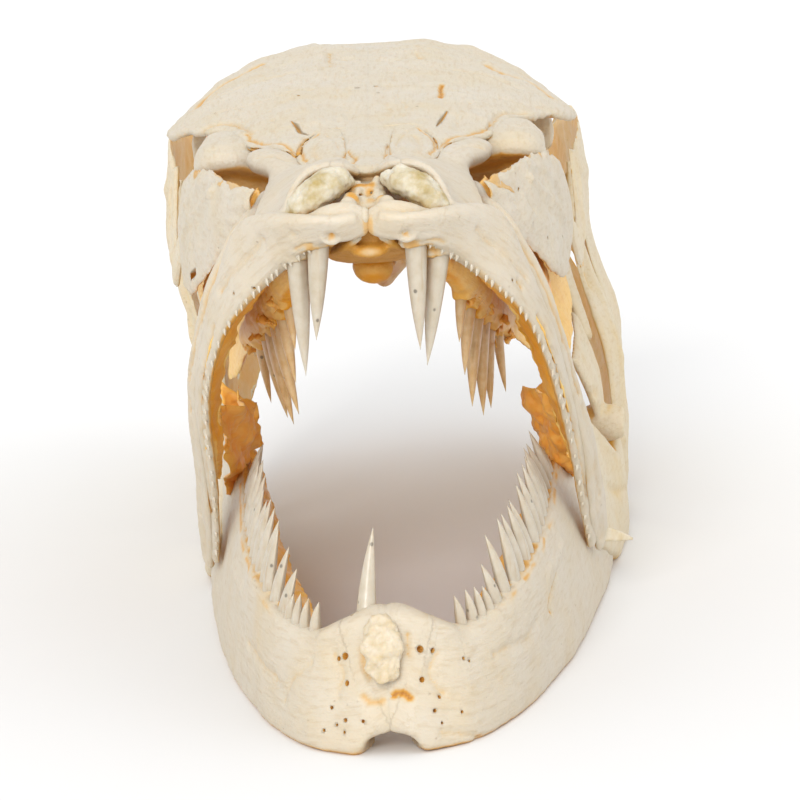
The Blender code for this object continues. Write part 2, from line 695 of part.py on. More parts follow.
def make_hyomandibular(side):
    # The hanger that joins the cheek to the braincase.
    front = ((29.0, 139.6, 65.4), (29.2, 139.0, 56), (30.4, 139.6, 46), (31.4, 139.8, 33.0))
    back = ((29.4, 163.0, 65.4), (30.6, 157.0, 56), (31.6, 150.0, 46), (32.2, 145.6, 33.0))
    rows = between(front, back, 9, 5, (0.6, 0, 0))
    wall = sheet("hyomandibular", mirrored(rows, side), 1.6)
    strut = (
        (28.8, 151, 64.0, 3.2, 1.7), (30.6, 149, 54, 1.9, 1.6),
        (31.6, 144.5, 42, 1.5, 1.4), (32.2, 142.8, 33.4, 1.3, 1.2),
    )
    beam = rod("strut", spline([(side * p[0], *p[1:]) for p in strut], 7), (0, 1, 0), 8)
    return fuse(wall, [beam])


def make_preopercle(side):
    # The crescent behind the cheek.
    front = ((33.6, 149.5, 63.0), (33.8, 148.0, 47), (34.4, 144.6, 31), (35.0, 143.0, 18), (34.8, 142.6, 7.0))
    back = ((34.6, 157.0, 62.0), (35.6, 156.8, 46), (36.9, 156.2, 29), (37.3, 154.0, 15), (36.4, 149.0, 3.6))
    rows = between(front, back, 11, 5, (0.5, 0, 0))
    return sheet("preopercle", mirrored(rows, side), 1.4)


def make_opercle(side):
    # The broad plate of the gill cover.
    top = ((34.9, 157.9, 63.0), (36.8, 176, 67.0), (35.8, 200, 66.6), (33.0, 220, 60.0), (30.6, 230.5, 50.0))
    low = ((36.3, 157.6, 23.4), (37.0, 178, 22.2), (35.6, 200, 25.4), (32.6, 218, 32.6), (30.4, 230.5, 44.0))
    rows = between(top, low, 12, 6, (1.1, 0, 0))
    return sheet("opercle", mirrored(rows, side), SHEET)


def make_subopercle(side):
    top = ((36.4, 160.0, 22.4), (36.6, 180, 21.6), (35.0, 201, 24.8), (31.8, 219, 32.0), (29.2, 231.6, 43.0))
    low = ((35.8, 164.0, 8.0), (35.0, 182, 6.4), (33.0, 203, 10.6), (29.8, 221, 21.6), (28.2, 232.5, 36.0))
    rows = between(top, low, 11, 4, (0.6, 0, 0))
    return sheet("subopercle", mirrored(rows, side), 0.9)


def make_interopercle(side):
    top = ((35.8, 150.8, 9.6), (36.4, 157, 12.6), (36.0, 163.2, 13.0))
    low = ((34.6, 147.4, 1.6), (34.8, 156, 1.2), (34.8, 165.0, 4.6))
    rows = between(top, low, 6, 4, (0.4, 0, 0))
    return sheet("interopercle", mirrored(rows, side), 0.9)


# Lower jaw

# The outer face of the lower jaw seen from above: (x, y), the top and foot of the bone,
# its thickness and how far its face leans in as it rises
DENTARY_FACE = (
    (0.15, -2.0, 21.0, 3.2, 8.8, 5.0),
    (3.0, -2.5, 20.6, 2.4, 8.6, 5.0),
    (5.2, -2.2, 19.8, 0.2, 8.4, 4.9),
    (8.2, -0.4, 18.6, 0.0, 7.8, 4.4),
    (12.6, 3.6, 16.9, 0.0, 6.8, 3.4),
    (18.2, 15.0, 16.8, 0.0, 5.4, 1.6),
    (22.8, 30.5, 18.8, 0.0, 4.8, 1.6),
    (27.3, 50.5, 21.2, 0.0, 4.4, 3.2),
    (30.8, 75.0, 24.6, 0.0, 4.2, 5.0),
    (32.6, 90.0, 28.6, 0.0, 4.0, 5.2),
    (33.4, 100.0, 29.6, 0.0, 3.4, 4.6),
    (34.0, 107.0, 25.6, 0.8, 2.4, 4.0),
)
# Its section as shares of the height and of the thickness inwards
JAW_SECTION = (
    (0.0, 0.16), (0.12, 0.02), (0.42, 0.0), (0.75, 0.0), (0.96, 0.10),
    (1.0, 0.32), (0.93, 0.62), (0.6, 0.72), (0.25, 0.95), (0.0, 0.86),
)


def jaw_ring(side, station, ahead):
    # A section of the lower jaw, from its outer foot up the face, over the top and down the inside.
    x, y, top, low, thick, lean = station
    low = max(low, 0.0)
    out = np.array((ahead[1], -ahead[0]))
    ring = []
    for f, t in JAW_SECTION:
        inward = thick * t + lean * f**1.3
        point = np.array((x, y)) - out * inward
        ring.append((side * max(point[0], 0.15), point[1], low + (top - low) * f))
    return ring


def make_dentary(side, name, articular):
    face = spline(DENTARY_FACE, 25)
    face[0][0] = 0.15
    rings, marks = [], []
    for i, station in enumerate(face):
        ahead = unit(face[min(i + 1, len(face) - 1)][:2] - face[max(i - 1, 0)][:2])
        if i == 0:
            ahead = np.array((1.0, 0.0))
        rings.append(jaw_ring(side, station, ahead))
        x, y, top, low, thick, lean = station
        crown = np.array((x, y)) - np.array((ahead[1], -ahead[0])) * (thick * 0.38 + lean)
        marks.append(np.array((crown[0], crown[1], top, ahead[0], ahead[1])))
    bone = clear_of(loft("dentary", rings), articular)
    line = spline(marks[6:], 200)
    draw = random.Random(7 if name == "left" else 3)

    def tooth(y, tall, wide, lean):
        mark = min(line, key=lambda m: abs(m[1] - y))
        root = (side * mark[0], mark[1], mark[2] - 2.6)
        tip = (side * (mark[0] - lean), mark[1] - 0.8 + draw.uniform(-0.3, 0.3), mark[2] + tall)
        return fang(root, tip, wide, 1.7, (side * mark[3], mark[4], 0), 6)

    teeth = []
    for i in range(LOWER_FRONT_TEETH):
        teeth.append(tooth(10.0 + 1.9 * i, 4.0 + draw.uniform(-0.6, 0.6), 1.7, 0.7))
    for i in range(LOWER_TEETH):
        # They grow taller over the first few, then shorter again towards the corner of the mouth.
        place = i / (LOWER_TEETH - 1)
        tall = 9.6 - 2.6 * (1 - min(i / 2, 1)) - 3.0 * max(place - 0.6, 0) / 0.4 + draw.uniform(-0.6, 0.6)
        teeth.append(tooth(19.0 + 55.0 * place, tall, 3.3, 3.0))
    if name == "right":
        # The single great fang stands behind the chin on this side only.
        teeth.append(fang((-3.1, 5.4, 15.5), (-1.3, 8.0, 31.2), 3.4, 3.2, (1, 0, 0), 8))
    # The exact solver leaves faces of this bone touching.
    return fuse(bone, teeth, "MANIFOLD")


def make_articular(side):
    # The rear of the lower jaw: a spear in the dentary's fork, the joint's cup and the heel.
    stations = (
        (31.4, 82.0, 14.5, 11.0, 7.0, 1.2),
        (32.9, 90.0, 19.6, 7.6, 7.0, 2.8),
        (34.0, 100.0, 24.6, 4.4, 6.6, 3.8),
        (35.0, 108.6, 25.8, 1.6, 6.2, 4.0),
        (35.6, 114.0, 24.4, 0.0, 6.4, 3.6),
        (36.4, 121.0, 20.4, 0.0, 6.8, 2.4),
        (36.9, 127.0, 16.2, 0.0, 7.4, 1.0),
        (37.1, 132.0, 15.0, 0.0, 7.6, 0.4),
        (37.0, 136.5, 17.8, 0.0, 7.0, 0.2),
        (36.6, 140.0, 15.0, 1.2, 4.8, 0.2),
    )
    return loft("articular", [jaw_ring(side, p, np.array((0.0, 1.0))) for p in stations])


def make_symphysis():
    # The knob of dried cartilage between the two halves of the chin.
    path = (
        (-0.5, 0.7, 18.2, 2.3, 1.4), (-0.5, -0.7, 15.6, 3.1, 2.0),
        (-0.4, -1.6, 13.2, 2.5, 1.8), (0.1, -2.2, 11.2, 1.4, 1.1), (0.2, -2.8, 9.2, 1.0, 0.8),
    )
    return rod("symphysis", spline(path, 7), (1, 0, 0), 10)


def make_rostral_pad(side):
    # The dried cartilage lying in the arch of the snout, above the fangs.
    path = (
        (3.3, 24.6, 79.3, 1.2, 1.1), (5.1, 22.9, 79.0, 2.0, 1.6), (7.1, 21.7, 77.8, 2.3, 1.7),
        (9.0, 21.5, 76.1, 2.0, 1.5), (10.3, 21.7, 74.6, 1.1, 0.9),
    )
    return rod("rostral_pad", spline([(side * p[0], *p[1:]) for p in path], 9), (0, 1, 0.4), 8)


# Assembly

for old in list(bpy.data.objects):
    bpy.data.objects.remove(old)

skull = bpy.data.collections.new("barracuda_skull")
bpy.context.scene.collection.children.link(skull)


def keep(obj, name, colour):
    obj.name = name
    obj.data.name = name
    for holder in list(obj.users_collection):
        holder.objects.unlink(obj)
    skull.objects.link(obj)
    return paint(obj, colour)


mesethmoid = keep(make_mesethmoid(), "mesethmoid", "bleached_bone")
keep(make_braincase(), "braincase", "cream_bone")
keep(make_parasphenoid(), "parasphenoid", "amber_bone")
dentaries = []

for label, sign in SIDES.items():
    premaxilla = keep(make_premaxilla(sign, label), f"premaxilla_{label}", "bleached_bone")
    frontal = keep(clear_of(make_frontal(sign), premaxilla), f"frontal_{label}", "bleached_bone")
    keep(clear_of(make_nasal(sign), premaxilla), f"nasal_{label}", "bleached_bone")
    ethmoid_wall = clear_of(make_lateral_ethmoid(sign), frontal, premaxilla)
    keep(ethmoid_wall, f"lateral_ethmoid_{label}", "cream_bone")
    maxilla = clear_of(make_maxilla(sign), premaxilla)
    keep(maxilla, f"maxilla_{label}", "bleached_bone")
    pad = clear_of(make_rostral_pad(sign), premaxilla, mesethmoid)
    keep(pad, f"rostral_cartilage_{label}", "dried_cartilage")
    palatine = keep(make_palatine(sign), f"palatine_{label}", "amber_bone")
    lachrymal = clear_of(make_lachrymal(sign), premaxilla, maxilla, ethmoid_wall)
    keep(lachrymal, f"lachrymal_{label}", "bleached_bone")
    keep(make_infraorbital(sign), f"infraorbital_{label}", "bleached_bone")
    keep(clear_of(make_pterygoid(sign), palatine), f"pterygoid_{label}", "amber_bone")
    keep(make_quadrate(sign), f"quadrate_{label}", "cream_bone")
    keep(make_metapterygoid(sign), f"metapterygoid_{label}", "cream_bone")
    keep(make_hyomandibular(sign), f"hyomandibular_{label}", "cream_bone")
    preopercle = keep(make_preopercle(sign), f"preopercle_{label}", "cream_bone")
    keep(make_opercle(sign), f"opercle_{label}", "cream_bone")
    subopercle = keep(make_subopercle(sign), f"subopercle_{label}", "cream_bone")
    interopercle = clear_of(make_interopercle(sign), preopercle, subopercle)
    keep(interopercle, f"interopercle_{label}", "cream_bone")
    articular = keep(make_articular(sign), f"articular_{label}", "cream_bone")
    dentaries.append(keep(make_dentary(sign, label, articular), f"dentary_{label}", "bleached_bone"))
keep(clear_of(make_symphysis(), *dentaries), "symphysis_cartilage", "dried_cartilage")
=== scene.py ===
# Dried skull of a great barracuda on a white table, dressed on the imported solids.
# Sizes are in millimetres behind the chin, as in the part's source, until intoFrame makes metres.
import math
import random

import bmesh
import bpy
import numpy as np
from mathutils import Matrix, Vector
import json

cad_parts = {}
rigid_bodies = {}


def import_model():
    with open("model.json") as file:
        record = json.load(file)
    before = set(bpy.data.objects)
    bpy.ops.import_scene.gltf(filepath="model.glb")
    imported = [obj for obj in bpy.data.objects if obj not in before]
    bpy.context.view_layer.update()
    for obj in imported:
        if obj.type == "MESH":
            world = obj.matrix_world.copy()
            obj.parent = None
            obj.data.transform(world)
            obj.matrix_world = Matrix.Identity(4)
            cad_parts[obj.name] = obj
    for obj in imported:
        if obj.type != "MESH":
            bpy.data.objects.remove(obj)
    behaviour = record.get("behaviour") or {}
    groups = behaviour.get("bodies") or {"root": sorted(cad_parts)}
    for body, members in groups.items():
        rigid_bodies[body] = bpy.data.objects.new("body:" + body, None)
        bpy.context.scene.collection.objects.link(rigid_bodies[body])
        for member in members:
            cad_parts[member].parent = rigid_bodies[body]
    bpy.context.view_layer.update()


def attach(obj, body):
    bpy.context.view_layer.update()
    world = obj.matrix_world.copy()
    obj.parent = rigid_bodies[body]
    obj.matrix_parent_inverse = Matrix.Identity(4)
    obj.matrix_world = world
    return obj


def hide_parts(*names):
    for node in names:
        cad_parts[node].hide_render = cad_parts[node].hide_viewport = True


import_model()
sides = {"left": 1, "right": -1}   # the animal's left is at +X

skull = {
    "middle": (-3.0, 114.55, 0.0),   # the point on the floor under the skull's middle
    "lean": 0.034,                   # the dried cranium sits askew on the jaws by this share
    "leanFoot": 26.0,
    "leanTop": 50.0,
    "snoutSetback": 17.5,
    "mouthHeight": 42.0,             # middle of the gape, which inner faces look towards
}


# Curves and noise

def spline(a, b, c, d, f):
    return 0.5 * (2 * b + (c - a) * f + (2 * a - 5 * b + 4 * c - d) * f**2 + (3 * b - a - 3 * c + d) * f**3)


def through(points, count):
    # Evenly numbered points on a smooth curve through the given ones.
    given = np.array(points, float)
    given = np.vstack([2 * given[0] - given[1], given, 2 * given[-1] - given[-2]])
    spans = len(given) - 3
    place = np.linspace(0, spans, count)
    k = np.minimum(place.astype(int), spans - 1)
    f = (place - k)[:, None]
    a, b, c, d = given[k], given[k + 1], given[k + 2], given[k + 3]
    return spline(a, b, c, d, f)


def roundRing(ring, count):
    # The same for a closed ring of points.
    given = np.array(ring, float)
    place = np.linspace(0, len(given), count, endpoint=False)
    k = place.astype(int)
    f = (place - k)[:, None]
    n = len(given)
    a, b, c, d = given[(k - 1) % n], given[k], given[(k + 1) % n], given[(k + 2) % n]
    return spline(a, b, c, d, f)


def readTable(table, at):
    # Smooth curve through a short table of (place, size), read at many places.
    xs, ys = np.array(table, float).T
    slope = np.gradient(ys, xs)
    at = np.asarray(at, float)
    k = np.clip(np.searchsorted(xs, at) - 1, 0, len(xs) - 2)
    span = xs[k + 1] - xs[k]
    f = np.clip((at - xs[k]) / span, 0, 1)
    return ((2 * f**3 - 3 * f**2 + 1) * ys[k] + (f**3 - 2 * f**2 + f) * span * slope[k]
            + (3 * f**2 - 2 * f**3) * ys[k + 1] + (f**3 - f**2) * span * slope[k + 1])


def ramp(values, low, high):
    f = np.clip((values - low) / (high - low), 0, 1)
    return f * f * (3 - 2 * f)


def cloud(points, size, seed):
    # Soft noise from -1 to 1 with lumps of about this size in millimetres.
    q = np.asarray(points, float) / size + seed * 17.31 + 500.5
    cell = np.floor(q).astype(np.int64)
    f = q - cell
    f = f * f * f * (f * (f * 6 - 15) + 10)
    total = np.zeros(len(q))
    for corner in range(8):
        step = np.array((corner & 1, corner >> 1 & 1, corner >> 2))
        c = cell + step
        h = (c[:, 0] * 374761393 + c[:, 1] * 668265263 + c[:, 2] * 2147483629 + seed * 97) & 0xFFFFFFFF
        h = ((h ^ (h >> 13)) * 1274126177) & 0xFFFFFFFF
        h = ((h ^ (h >> 16)) & 0xFFFF) / 65535.0
        total += h * np.prod(np.where(step, f, 1 - f), axis=1)
    return total * 2 - 1


def nearPath(points, path):
    # Distance from each point to a bent line, how far along it that is, and the nearest spot.
    path = np.atleast_2d(np.array(path, float))
    if len(path) == 1:
        path = np.vstack([path, path + (0, 0, 1e-4)])
    best = np.full(len(points), 1e9)
    reach = np.zeros(len(points))
    spot = np.zeros((len(points), 3))
    walked = 0.0
    for a, b in zip(path, path[1:]):
        span = b - a
        length = np.linalg.norm(span)
        f = np.clip((points - a) @ span / length**2, 0, 1)
        foot = a + f[:, None] * span
        away = np.linalg.norm(points - foot, axis=1)
        closer = away < best
        best[closer] = away[closer]
        reach[closer] = walked + f[closer] * length
        spot[closer] = foot[closer]
        walked += length
    return best, reach, spot


# Meshes

def intoFrame(points):
    # Millimetres behind the chin to metres in the shared frame, with the cranium set askew.
    p = np.array(points, float)
    f = np.clip((p[:, 2] - skull["leanFoot"]) / (skull["leanTop"] - skull["leanFoot"]), 0, 1)
    p[:, 0] -= skull["lean"] * np.maximum(p[:, 1] - skull["snoutSetback"], 0) * f * f * (3 - 2 * f)
    return (p - np.array(skull["middle"])) * 0.001


def makeMesh(name, points, quads, tris=None):
    mesh = bpy.data.meshes.new(name)
    tris = np.zeros((0, 3), int) if tris is None else np.asarray(tris, int).reshape(-1, 3)
    quads = np.asarray(quads, int).reshape(-1, 4)
    corners = np.concatenate([quads.ravel(), tris.ravel()])
    starts = np.concatenate([np.arange(len(quads)) * 4, len(quads) * 4 + np.arange(len(tris)) * 3])
    mesh.vertices.add(len(points))
    mesh.vertices.foreach_set("co", np.asarray(points, np.float32).ravel())
    mesh.loops.add(len(corners))
    mesh.polygons.add(len(starts))
    mesh.polygons.foreach_set("loop_start", starts.astype(np.int32))
    mesh.polygons.foreach_set("vertices", corners.astype(np.int32))
    mesh.update(calc_edges=True)
    return mesh


def readMesh(mesh):
    points = np.empty(len(mesh.vertices) * 3, np.float32)
    mesh.vertices.foreach_get("co", points)
    corners = np.empty(len(mesh.loops), np.int32)
    mesh.loops.foreach_get("vertex_index", corners)
    return points.reshape(-1, 3).astype(float), corners.reshape(-1, 4)


def turnFacesOut(mesh):
    mender = bmesh.new()
    mender.from_mesh(mesh)
    bmesh.ops.recalc_face_normals(mender, faces=mender.faces)
    mender.to_mesh(mesh)
    mender.free()


def addField(mesh, name, values, kind="FLOAT"):
    # A number or a vector for each point, which the finishes read.
    field = mesh.attributes.new(name, kind, "POINT").data
    field.foreach_set("value" if kind == "FLOAT" else "vector", np.asarray(values, np.float32).ravel())


def placeObject(name, mesh):
    made = bpy.data.objects.new(name, mesh)
    bpy.context.scene.collection.objects.link(made)
    return made


def ringSolid(rings):
    # A closed solid through equal rings of points, as (points, quads, tris).
    rings = np.array(rings, float)
    n, m = rings.shape[:2]
    points = np.vstack([rings.reshape(-1, 3), rings[0].mean(0), rings[-1].mean(0)])
    i, j = np.meshgrid(np.arange(n - 1), np.arange(m), indexing="ij")
    a, b = i * m + j, i * m + (j + 1) % m
    quads = np.stack([a, b, b + m, a + m], axis=-1).reshape(-1, 4)
    k = np.arange(m)
    first = np.stack([(k + 1) % m, k, np.full(m, n * m)], axis=1)
    last = np.stack([k + (n - 1) * m, (k + 1) % m + (n - 1) * m, np.full(m, n * m + 1)], axis=1)
    return points, quads, np.vstack([first, last])


noTris = np.zeros((0, 3), int)   # a plate is all quads
capAngles = (80, 55, 28)         # rings of a rod's rounded end


def stackSolids(solids):
    points, quads, tris, count = [], [], [], 0
    for p, q, t in solids:
        points.append(p)
        quads.append(np.asarray(q) + count)
        tris.append(np.asarray(t) + count)
        count += len(p)
    return np.vstack(points), np.vstack(quads), np.vstack(tris)


def sweep(path, across, sideCount, steps, blunt=True):
    # An oval rod along (x, y, z, half width, half height), with rounded ends.
    path = through(path, steps)
    centre = path[:, :3]
    ahead = np.gradient(centre, axis=0)
    ahead /= np.linalg.norm(ahead, axis=1)[:, None]
    across = np.broadcast_to(np.array(across, float), ahead.shape)
    wide = across - ahead * (across * ahead).sum(1)[:, None]
    wide /= np.linalg.norm(wide, axis=1)[:, None]
    tall = np.cross(ahead, wide)
    turn = np.linspace(0, 2 * math.pi, sideCount, endpoint=False)
    rings = []

    def addRing(k, push, share):
        u = wide[k] * max(path[k, 3], 0.05) * share
        v = tall[k] * max(path[k, 4], 0.05) * share
        base = centre[k] + ahead[k] * push
        rings.append(base + np.cos(turn)[:, None] * u + np.sin(turn)[:, None] * v)

    for angle in (capAngles if blunt else ()):
        bulge = math.radians(angle)
        addRing(0, -min(path[0, 3], path[0, 4]) * math.sin(bulge), math.cos(bulge))
    for k in range(len(path)):
        addRing(k, 0.0, 1.0)
    for angle in (capAngles[::-1] if blunt else ()):
        bulge = math.radians(angle)
        addRing(-1, min(path[-1, 3], path[-1, 4]) * math.sin(bulge), math.cos(bulge))
    return ringSolid(rings)


def egg(centre, radii, sideCount=20):
    rings = []
    turn = np.linspace(0, 2 * math.pi, sideCount, endpoint=False)
    for up in np.linspace(-0.97, 0.97, 12) * math.pi / 2:
        flat = math.cos(up)
        rings.append(np.stack([np.cos(turn) * flat, np.sin(turn) * flat, np.full(sideCount, math.sin(up))], axis=1))
    points, quads, tris = ringSolid(rings)
    return points * np.array(radii, float) + np.array(centre, float), quads, tris


def mirrorRing(half, y):
    # A ring across the skull from its right half, (x, z) from the top to the foot.
    return [(x, y, z) for x, z in half] + [(-x, y, z) for x, z in half[::-1] if x]


def sectionLoft(rings, around, steps):
    # A smooth solid through a few unlike sections.
    rings = np.array([roundRing(ring, around) for ring in rings])
    dense = through(rings.reshape(len(rings), -1), steps).reshape(steps, around, 3)
    return ringSolid(dense)


def melt(solids, grit, rounds=3):
    # Fuses closed solids into one skin of even small faces and softens it.
    points, quads, tris = stackSolids(solids)
    mesh = makeMesh("melt", points * 0.001, quads, tris)
    work = placeObject("melt", mesh)
    turnFacesOut(mesh)
    voxels = work.modifiers.new("voxels", "REMESH")
    voxels.mode = "VOXEL"
    voxels.voxel_size = grit * 0.001
    graph = bpy.context.evaluated_depsgraph_get()
    melted = bpy.data.meshes.new_from_object(work.evaluated_get(graph))
    points, quads = readMesh(melted)
    bpy.data.objects.remove(work)
    bpy.data.meshes.remove(mesh)
    bpy.data.meshes.remove(melted)
    return soften(points * 1000, quads, rounds), quads


def soften(points, quads, rounds, amount=0.55):
    # Evens the surface out; amount may be a number for each point.
    amount = np.reshape(amount, (-1, 1))
    a = quads.ravel()
    b = np.roll(quads, -1, axis=1).ravel()
    ends, starts = np.concatenate([a, b]), np.concatenate([b, a])
    count = np.bincount(ends, minlength=len(points))
    for _ in range(rounds):
        mean = np.stack([np.bincount(ends, points[starts, k], len(points)) / count for k in range(3)], axis=1)
        points = points + (mean - points) * amount
    return points


def faceOut(points, quads):
    # Vertex normals from the faces.
    p = points[quads]
    cross = np.cross(p[:, 2] - p[:, 0], p[:, 3] - p[:, 1])
    total = np.stack([np.bincount(quads.ravel(), np.repeat(cross[:, k], 4), len(points)) for k in range(3)], axis=1)
    length = np.linalg.norm(total, axis=1)
    return total / np.maximum(length, 1e-12)[:, None]


markLook = {
    "pointsPerStep": 14, "sway": 0.22, "meander": 2.6,   # a suture's small meanders
    "reach": 6.0,                                        # how near the surface a mark's path has to lie
    "uneven": 0.35, "unevenSize": 2.2,                   # the depth varies by this share over this length
    "stainWidth": 1.25,
}


def carve(points, normals, marks):
    # Pushes the surface in along grooves and pits and out along ridges.
    # Each mark is (path, half width, depth, stain); a negative depth stands proud.
    push = np.zeros(len(points))
    stain = np.zeros(len(points))
    for path, width, depth, dark in marks:
        path = np.atleast_2d(np.array(path, float))
        if len(path) > 1:
            path = wiggle(path, markLook["pointsPerStep"] * len(path), markLook["sway"], markLook["meander"],
                          len(path))
        margin = width * 3 + 1.2
        close = np.nonzero(((points > path.min(0) - margin) & (points < path.max(0) + margin)).all(1))[0]
        if len(close) < 4:
            continue
        local = points[close]
        # The path is laid down on the surface first
        nearest = ((local[None] - path[:, None]) ** 2).sum(2)
        laid = local[nearest.argmin(1)][nearest.min(1) < markLook["reach"]]
        if not len(laid):
            continue
        away = nearPath(local, laid)[0]
        fade = 1.0 + markLook["uneven"] * cloud(local, markLook["unevenSize"], 41)
        push[close] -= depth * fade * np.exp(-(away / width) ** 2)
        stain[close] = np.maximum(stain[close], dark * np.exp(-(away / (width * markLook["stainWidth"])) ** 2))
    return points + normals * push[:, None], stain


def wiggle(path, count, sway, size, seed):
    # A smooth path with a bone suture's small meanders.
    line = through(path, count)
    shake = np.stack([cloud(line, size, seed + k) for k in range(3)], axis=1)
    return line + shake * sway


def mirrorMarks(marks, side):
    flip = np.array((side, 1, 1))
    return [(np.atleast_2d(np.array(path, float)) * flip, *rest) for path, *rest in marks]


boneSurface = {
    "swell": 7.0, "fine": 1.7, "finest": 0.8,   # sizes of the relief's lumps
    "patch": 9.0,                               # patches with more and less grease
    "inwards": (0.05, 0.6),                     # how squarely a face looks at the mouth, from clean to fully painted amber
    "bleached": (20, 34),                       # the inner amber is left off the front of the snout and chin
    "stretch": 0.16,                            # the fibres are drawn out along the bone
    "stainPower": 1.7,
    "boreStain": 0.42, "boreReach": 4.0,        # a hole is left out where no surface is this near
    "slitSteps": 16,
}


def innerGreaseAndShade(points, normals):
    # Inner faces, which look towards the mouth, are painted amber: partly the grease they keep, partly painted
    # shade, orange like light glowing through the thin bone.
    towards = np.stack([-points[:, 0], np.zeros(len(points)), skull["mouthHeight"] - points[:, 2]], axis=1)
    towards /= np.maximum(np.linalg.norm(towards, axis=1), 1e-6)[:, None]
    return ramp((towards * normals).sum(1), *boneSurface["inwards"])


def finishBone(name, node, points, quads, look, seed, marks=(), grain=None, holes=(), extraStainAndShade=None):
    # Adds relief and marks, writes stain with painted shade and grain, and sets the bone in the frame.
    surface = boneSurface
    normals = faceOut(points, quads)
    broad, fine = look["relief"]
    swell = broad * cloud(points, surface["swell"], seed) + fine * cloud(points, surface["fine"], seed + 3)
    swell += fine * 0.5 * cloud(points, surface["finest"], seed + 5)
    points = points + normals * swell[:, None]
    points, stain = carve(points, normals, marks)
    stain = stain ** surface["stainPower"]
    normals = faceOut(points, quads)
    patch = 0.5 + 0.5 * cloud(points, surface["patch"], seed + 8)
    # The inner faces' amber is partly grease and partly painted shade
    within = look["greasy"] * innerGreaseAndShade(points, normals) * ramp(points[:, 1], *surface["bleached"])
    stain = np.maximum(stain, within * (0.65 + 0.5 * patch))
    if extraStainAndShade is not None:
        stain = np.maximum(stain, extraStainAndShade(points, normals))
    if grain is None:
        flow = points * (1.0, surface["stretch"], 1.0)
    else:
        reach, spot = nearPath(points, grain)[1:]
        offset = points - spot
        flow = np.stack([offset[:, 0], offset[:, 2], reach * surface["stretch"]], axis=1)
    mesh = makeMesh(name, intoFrame(points), quads)
    addField(mesh, "stain", stain)
    addField(mesh, "grain", flow, "FLOAT_VECTOR")
    mesh.shade_smooth()
    mesh.materials.append(finishes[look["finish"]])
    bone = placeObject(name, mesh)
    if len(holes):
        pierce(bone, points, normals, holes)
    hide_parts(node)
    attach(bone, "root")


def borer(path, radius, depth, out):
    # A tapering rod at one spot, or for a longer path a thin wall from above the surface to its depth.
    if len(path) == 1:
        line = [(*(path[0] + out * (radius + 0.4)), radius * 1.25, radius * 1.25),
                (*(path[0] + out * 0.1), radius, radius),
                (*(path[0] - out * depth), radius * 0.8, radius * 0.8)]
        return sweep(line, np.cross(out, (0.3, 0.9, 0.2)), sideCount=14, steps=8, blunt=False)
    steps = boneSurface["slitSteps"]
    line = through(path, steps)
    taper = np.sin(np.linspace(0.12, math.pi - 0.12, steps)) ** 0.5
    side = np.cross(np.gradient(line, axis=0), out)
    side /= np.linalg.norm(side, axis=1)[:, None]
    rings = []
    for k in range(steps):
        w = side[k] * radius * taper[k]
        top, foot = line[k] + out * 0.8, line[k] - out * depth * taper[k]
        rings.append([top + w, line[k] + w, foot + w * 0.5, foot - w * 0.5, line[k] - w, top - w])
    return ringSolid(rings)


def pierce(bone, points, normals, holes):
    # Real holes: (spot or short path, radius, depth) driven in square to the nearest surface.
    cutters = bpy.data.collections.new("borers")
    for path, radius, depth in holes:
        path = np.atleast_2d(np.array(path, float))
        nearest = np.argmin(((points - path.mean(0)) ** 2).sum(1))
        if np.linalg.norm(points[nearest] - path.mean(0)) > boneSurface["boreReach"]:
            continue
        p, q, t = borer(path, radius, depth, normals[nearest])
        mesh = makeMesh("borer", intoFrame(p), q, t)
        addField(mesh, "stain", np.full(len(p), boneSurface["boreStain"]))
        addField(mesh, "grain", p, "FLOAT_VECTOR")
        mesh.materials.append(bone.data.materials[0])
        turnFacesOut(mesh)
        cutters.objects.link(bpy.data.objects.new("borer", mesh))
    if len(cutters.objects):
        drill = bone.modifiers.new("drill", "BOOLEAN")
        drill.operation = "DIFFERENCE"
        drill.operand_type = "COLLECTION"
        drill.collection = cutters
        drill.solver = "MANIFOLD"
        graph = bpy.context.evaluated_depsgraph_get()
        drilled = bpy.data.meshes.new_from_object(bone.evaluated_get(graph))
        bone.modifiers.clear()
        if len(drilled.vertices) > len(bone.data.vertices) * 0.8:
            old = bone.data
            bone.data = drilled
            bpy.data.meshes.remove(old)
            drilled.name = bone.name
        else:
            print("holes left out of", bone.name)
    for cutter in list(cutters.objects):
        bpy.data.objects.remove(cutter)
    bpy.data.collections.remove(cutters)


